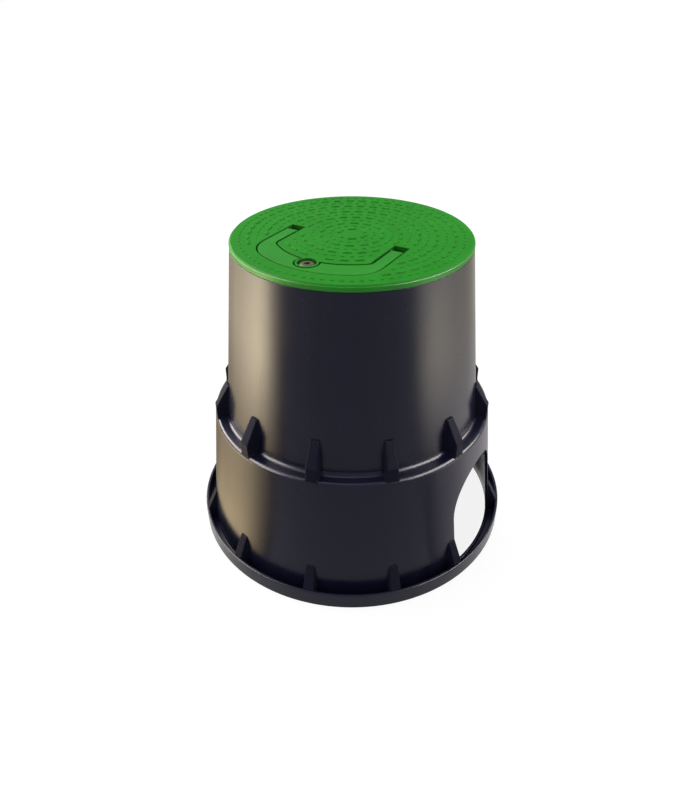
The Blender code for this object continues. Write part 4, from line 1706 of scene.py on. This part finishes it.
@dataclass
class Studio:
    """Pale floor, white surroundings, lamps and the camera, at the photograph's viewing angle."""

    # Camera: its azimuth and pitch in degrees, its place, and its lens and sensor in millimetres
    azimuth: float = 30.0
    distance: float = 0.5723
    height: float = 0.5233
    pitch: float = 34.6
    lens: float = 29.63
    sensor: float = 36.0
    shift: float = -0.0025
    nearest: float = 0.01

    # Floor and surroundings
    fill: float = 0.35
    floor_radius: float = 8.0
    floor_colour: float = 0.15
    floor_glow: float = 0.88
    # Black sheet of painted shade on the floor inside the box
    shade_sheet_radius: float = 0.150
    shade_sheet_height: float = 0.001

    lamps: tuple[SoftSky | LightTable | SidePanel, ...] = (
        SoftSky(),
        LightTable("left_light_table", stations=(
            (-60.0, 0.3, 0.6), (-66.0, 1.2, 2.6), (-75.0, 3.4, 11.0), (-84.0, 5.2, 26.0),
            (-92.0, 5.0, 24.0), (-101.0, 4.2, 15.0), (-119.0, 2.0, 5.4), (-141.0, 0.5, 1.4),
            (-160.0, 0.4, 0.6), (-178.0, 0.4, 0.5),
        ), colour=(1.0, 0.84, 0.57), foot_colour=(1.0, 0.78, 0.44)),
        LightTable("right_light_table", stations=(
            (56.0, 0.4, 1.6), (66.0, 1.0, 7.2), (74.0, 1.4, 9.8), (87.0, 1.6, 7.2), (104.0, 1.9, 3.2),
            (125.0, 1.2, 1.35), (145.0, 0.8, 0.95), (178.0, 0.5, 0.7),
        ), colour=(1.0, 0.93, 0.78), foot_colour=(1.0, 0.94, 0.98)),
        SidePanel("left_panel", azimuth=-98.0, radiance=30.0, colour=(1.0, 0.90, 0.80), width=3.0),
        SidePanel("right_panel", azimuth=78.0, radiance=32.0, colour=(1.0, 0.93, 0.86), width=2.5),
    )

    def seen(self, graph: Graph) -> Signal:
        """Mask of the rays that see the background: from the camera, mirrored or through glass."""
        camera = graph.add("ShaderNodeLightPath", output="Is Camera Ray")
        glossy = graph.add("ShaderNodeLightPath", output="Is Glossy Ray")
        through = graph.add("ShaderNodeLightPath", output="Is Transmission Ray")
        return camera.maximum(glossy).maximum(through)

    def add_floor(self) -> None:
        """Adds the floor."""
        floor = disc("floor", self.floor_radius)
        material = bpy.data.materials.new("pale_floor")
        graph = Graph(material)
        graph.surface(graph.add("ShaderNodeBsdfPrincipled", None, {
            "Base Color": (*[self.floor_colour] * 3, 1), "Roughness": 0.9, "Specular IOR Level": 0.1,
            "Emission Color": (1, 1, 1, 1), "Emission Strength": self.seen(graph) * self.floor_glow}))
        floor.data.materials.append(material)

    def add_shade_sheet(self) -> None:
        """Adds a black sheet of painted shade on the floor inside the box, where the glowing floor would
        show no shade; only the inside walls' reflections see it.
        """
        mat = disc("inner_shade_sheet", self.shade_sheet_radius)
        mat.location.z = self.shade_sheet_height
        material = bpy.data.materials.new("inner_shade_sheet")
        graph = Graph(material)
        graph.surface(graph.add("ShaderNodeBsdfPrincipled", None, {
            "Base Color": (0, 0, 0, 1), "Specular IOR Level": 0.0}))
        mat.data.materials.append(material)
        mat.visible_camera = False

    def add_world(self) -> None:
        """Adds the white surroundings, which light the object less than they show."""
        world = bpy.data.worlds.new("white_room")
        bpy.context.scene.world = world
        graph = Graph(world)
        strength = self.seen(graph) * (1 - self.fill) + self.fill
        background = graph.add("ShaderNodeBackground", None, {"Color": (1, 1, 1, 1), "Strength": strength})
        graph.add("ShaderNodeOutputWorld", None, {"Surface": background})

    def add_camera(self, stand: Matrix) -> None:
        """Adds the camera at the photograph's place.

        Args:
            stand: Transform from the camera's directions to the scene.
        """
        camera = bpy.data.cameras.new("camera")
        camera.lens = self.lens
        camera.sensor_width = self.sensor
        camera.shift_x = self.shift
        camera.clip_start = self.nearest
        place = Matrix.Translation((0, -self.distance, self.height))
        tilt = Matrix.Rotation(math.radians(90 - self.pitch), 4, "X")
        bpy.context.scene.camera = place_in_scene("camera", camera, stand @ place @ tilt)

    def build(self) -> None:
        """Builds the whole set."""
        stand = Matrix.Rotation(math.radians(self.azimuth), 4, "Z")
        self.add_floor()
        self.add_shade_sheet()
        self.add_world()
        self.add_camera(stand)
        for lamp in self.lamps:
            lamp.build(stand)
        bpy.context.scene.view_settings.view_transform = "Standard"


def report(pieces: Sequence[bpy.types.Object]) -> None:
    """Logs the name and the number of faces of each piece."""
    for piece in pieces:
        log.info("%s: %d faces", piece.name, len(piece.data.polygons))


def main() -> None:
    """Builds the scene."""
    logging.basicConfig(level=logging.INFO, format="%(name)s: %(message)s")
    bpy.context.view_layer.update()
    envelope = Envelope()
    plan = StrapPlan(envelope)

    black = MouldedPlastic(
        "black_moulded_plastic", colour=(0.009, 0.010, 0.031), pale_colour=(0.012, 0.013, 0.036),
        roughness=0.25, specular=0.148, skin_height=0.000012, skin_scale=900)
    # The gussets are the same black plastic as the walls, rougher and duller; their paler colour is painted
    # light
    rib_black_painted_paler = MouldedPlastic(
        "black_rib_plastic", colour=(0.015, 0.016, 0.034), pale_colour=(0.019, 0.020, 0.039),
        roughness=0.42, specular=0.02, skin_height=0.00003, skin_scale=700)
    # The lid's rim band is painted paler, a painted highlight, under a glossier coat
    rim = RimWithPaintedHighlight(radius=envelope.mouth_radius - 0.0007, colour=(0.035, 0.400, 0.032), gloss=0.18)
    # The lid's and the strap's greens are painted darker in their hollows: painted shade
    green = MouldedPlastic(
        "green_lid_plastic", colour=(0.005, 0.220, 0.004), pale_colour=(0.012, 0.280, 0.010),
        roughness=0.58, specular=0.045, skin_height=0.00005, skin_scale=1100,
        flow_stretch=(1, 1, 1), hollow_shade_reach=0.0016, rim=rim)
    strap_green = MouldedPlastic(
        "green_strap_plastic", colour=(0.006, 0.235, 0.005), pale_colour=(0.014, 0.295, 0.012),
        roughness=0.48, specular=0.06, skin_height=0.00005, skin_scale=1100,
        flow_stretch=(1, 1, 1), hollow_shade_reach=0.0016)
    # The olive tint of the zinc is partly painted green light bounced from the lid
    zinc = PlatedSteel("zinc_plated_steel", colour=(0.042, 0.038, 0.012),
                       stain_colour=(0.020, 0.021, 0.007), roughness=0.54, metallic=0.3)

    Studio().build()
    body = MouldedBody(envelope, black)
    for assembly in (body, GussetRing(body, rib_black_painted_paler), LidCover(envelope, plan, green),
                     CarryingStrap(plan, strap_green), LidLock(zinc, plan.bolt_y)):
        report(assembly.build())


if __name__ == "__main__":
    main()
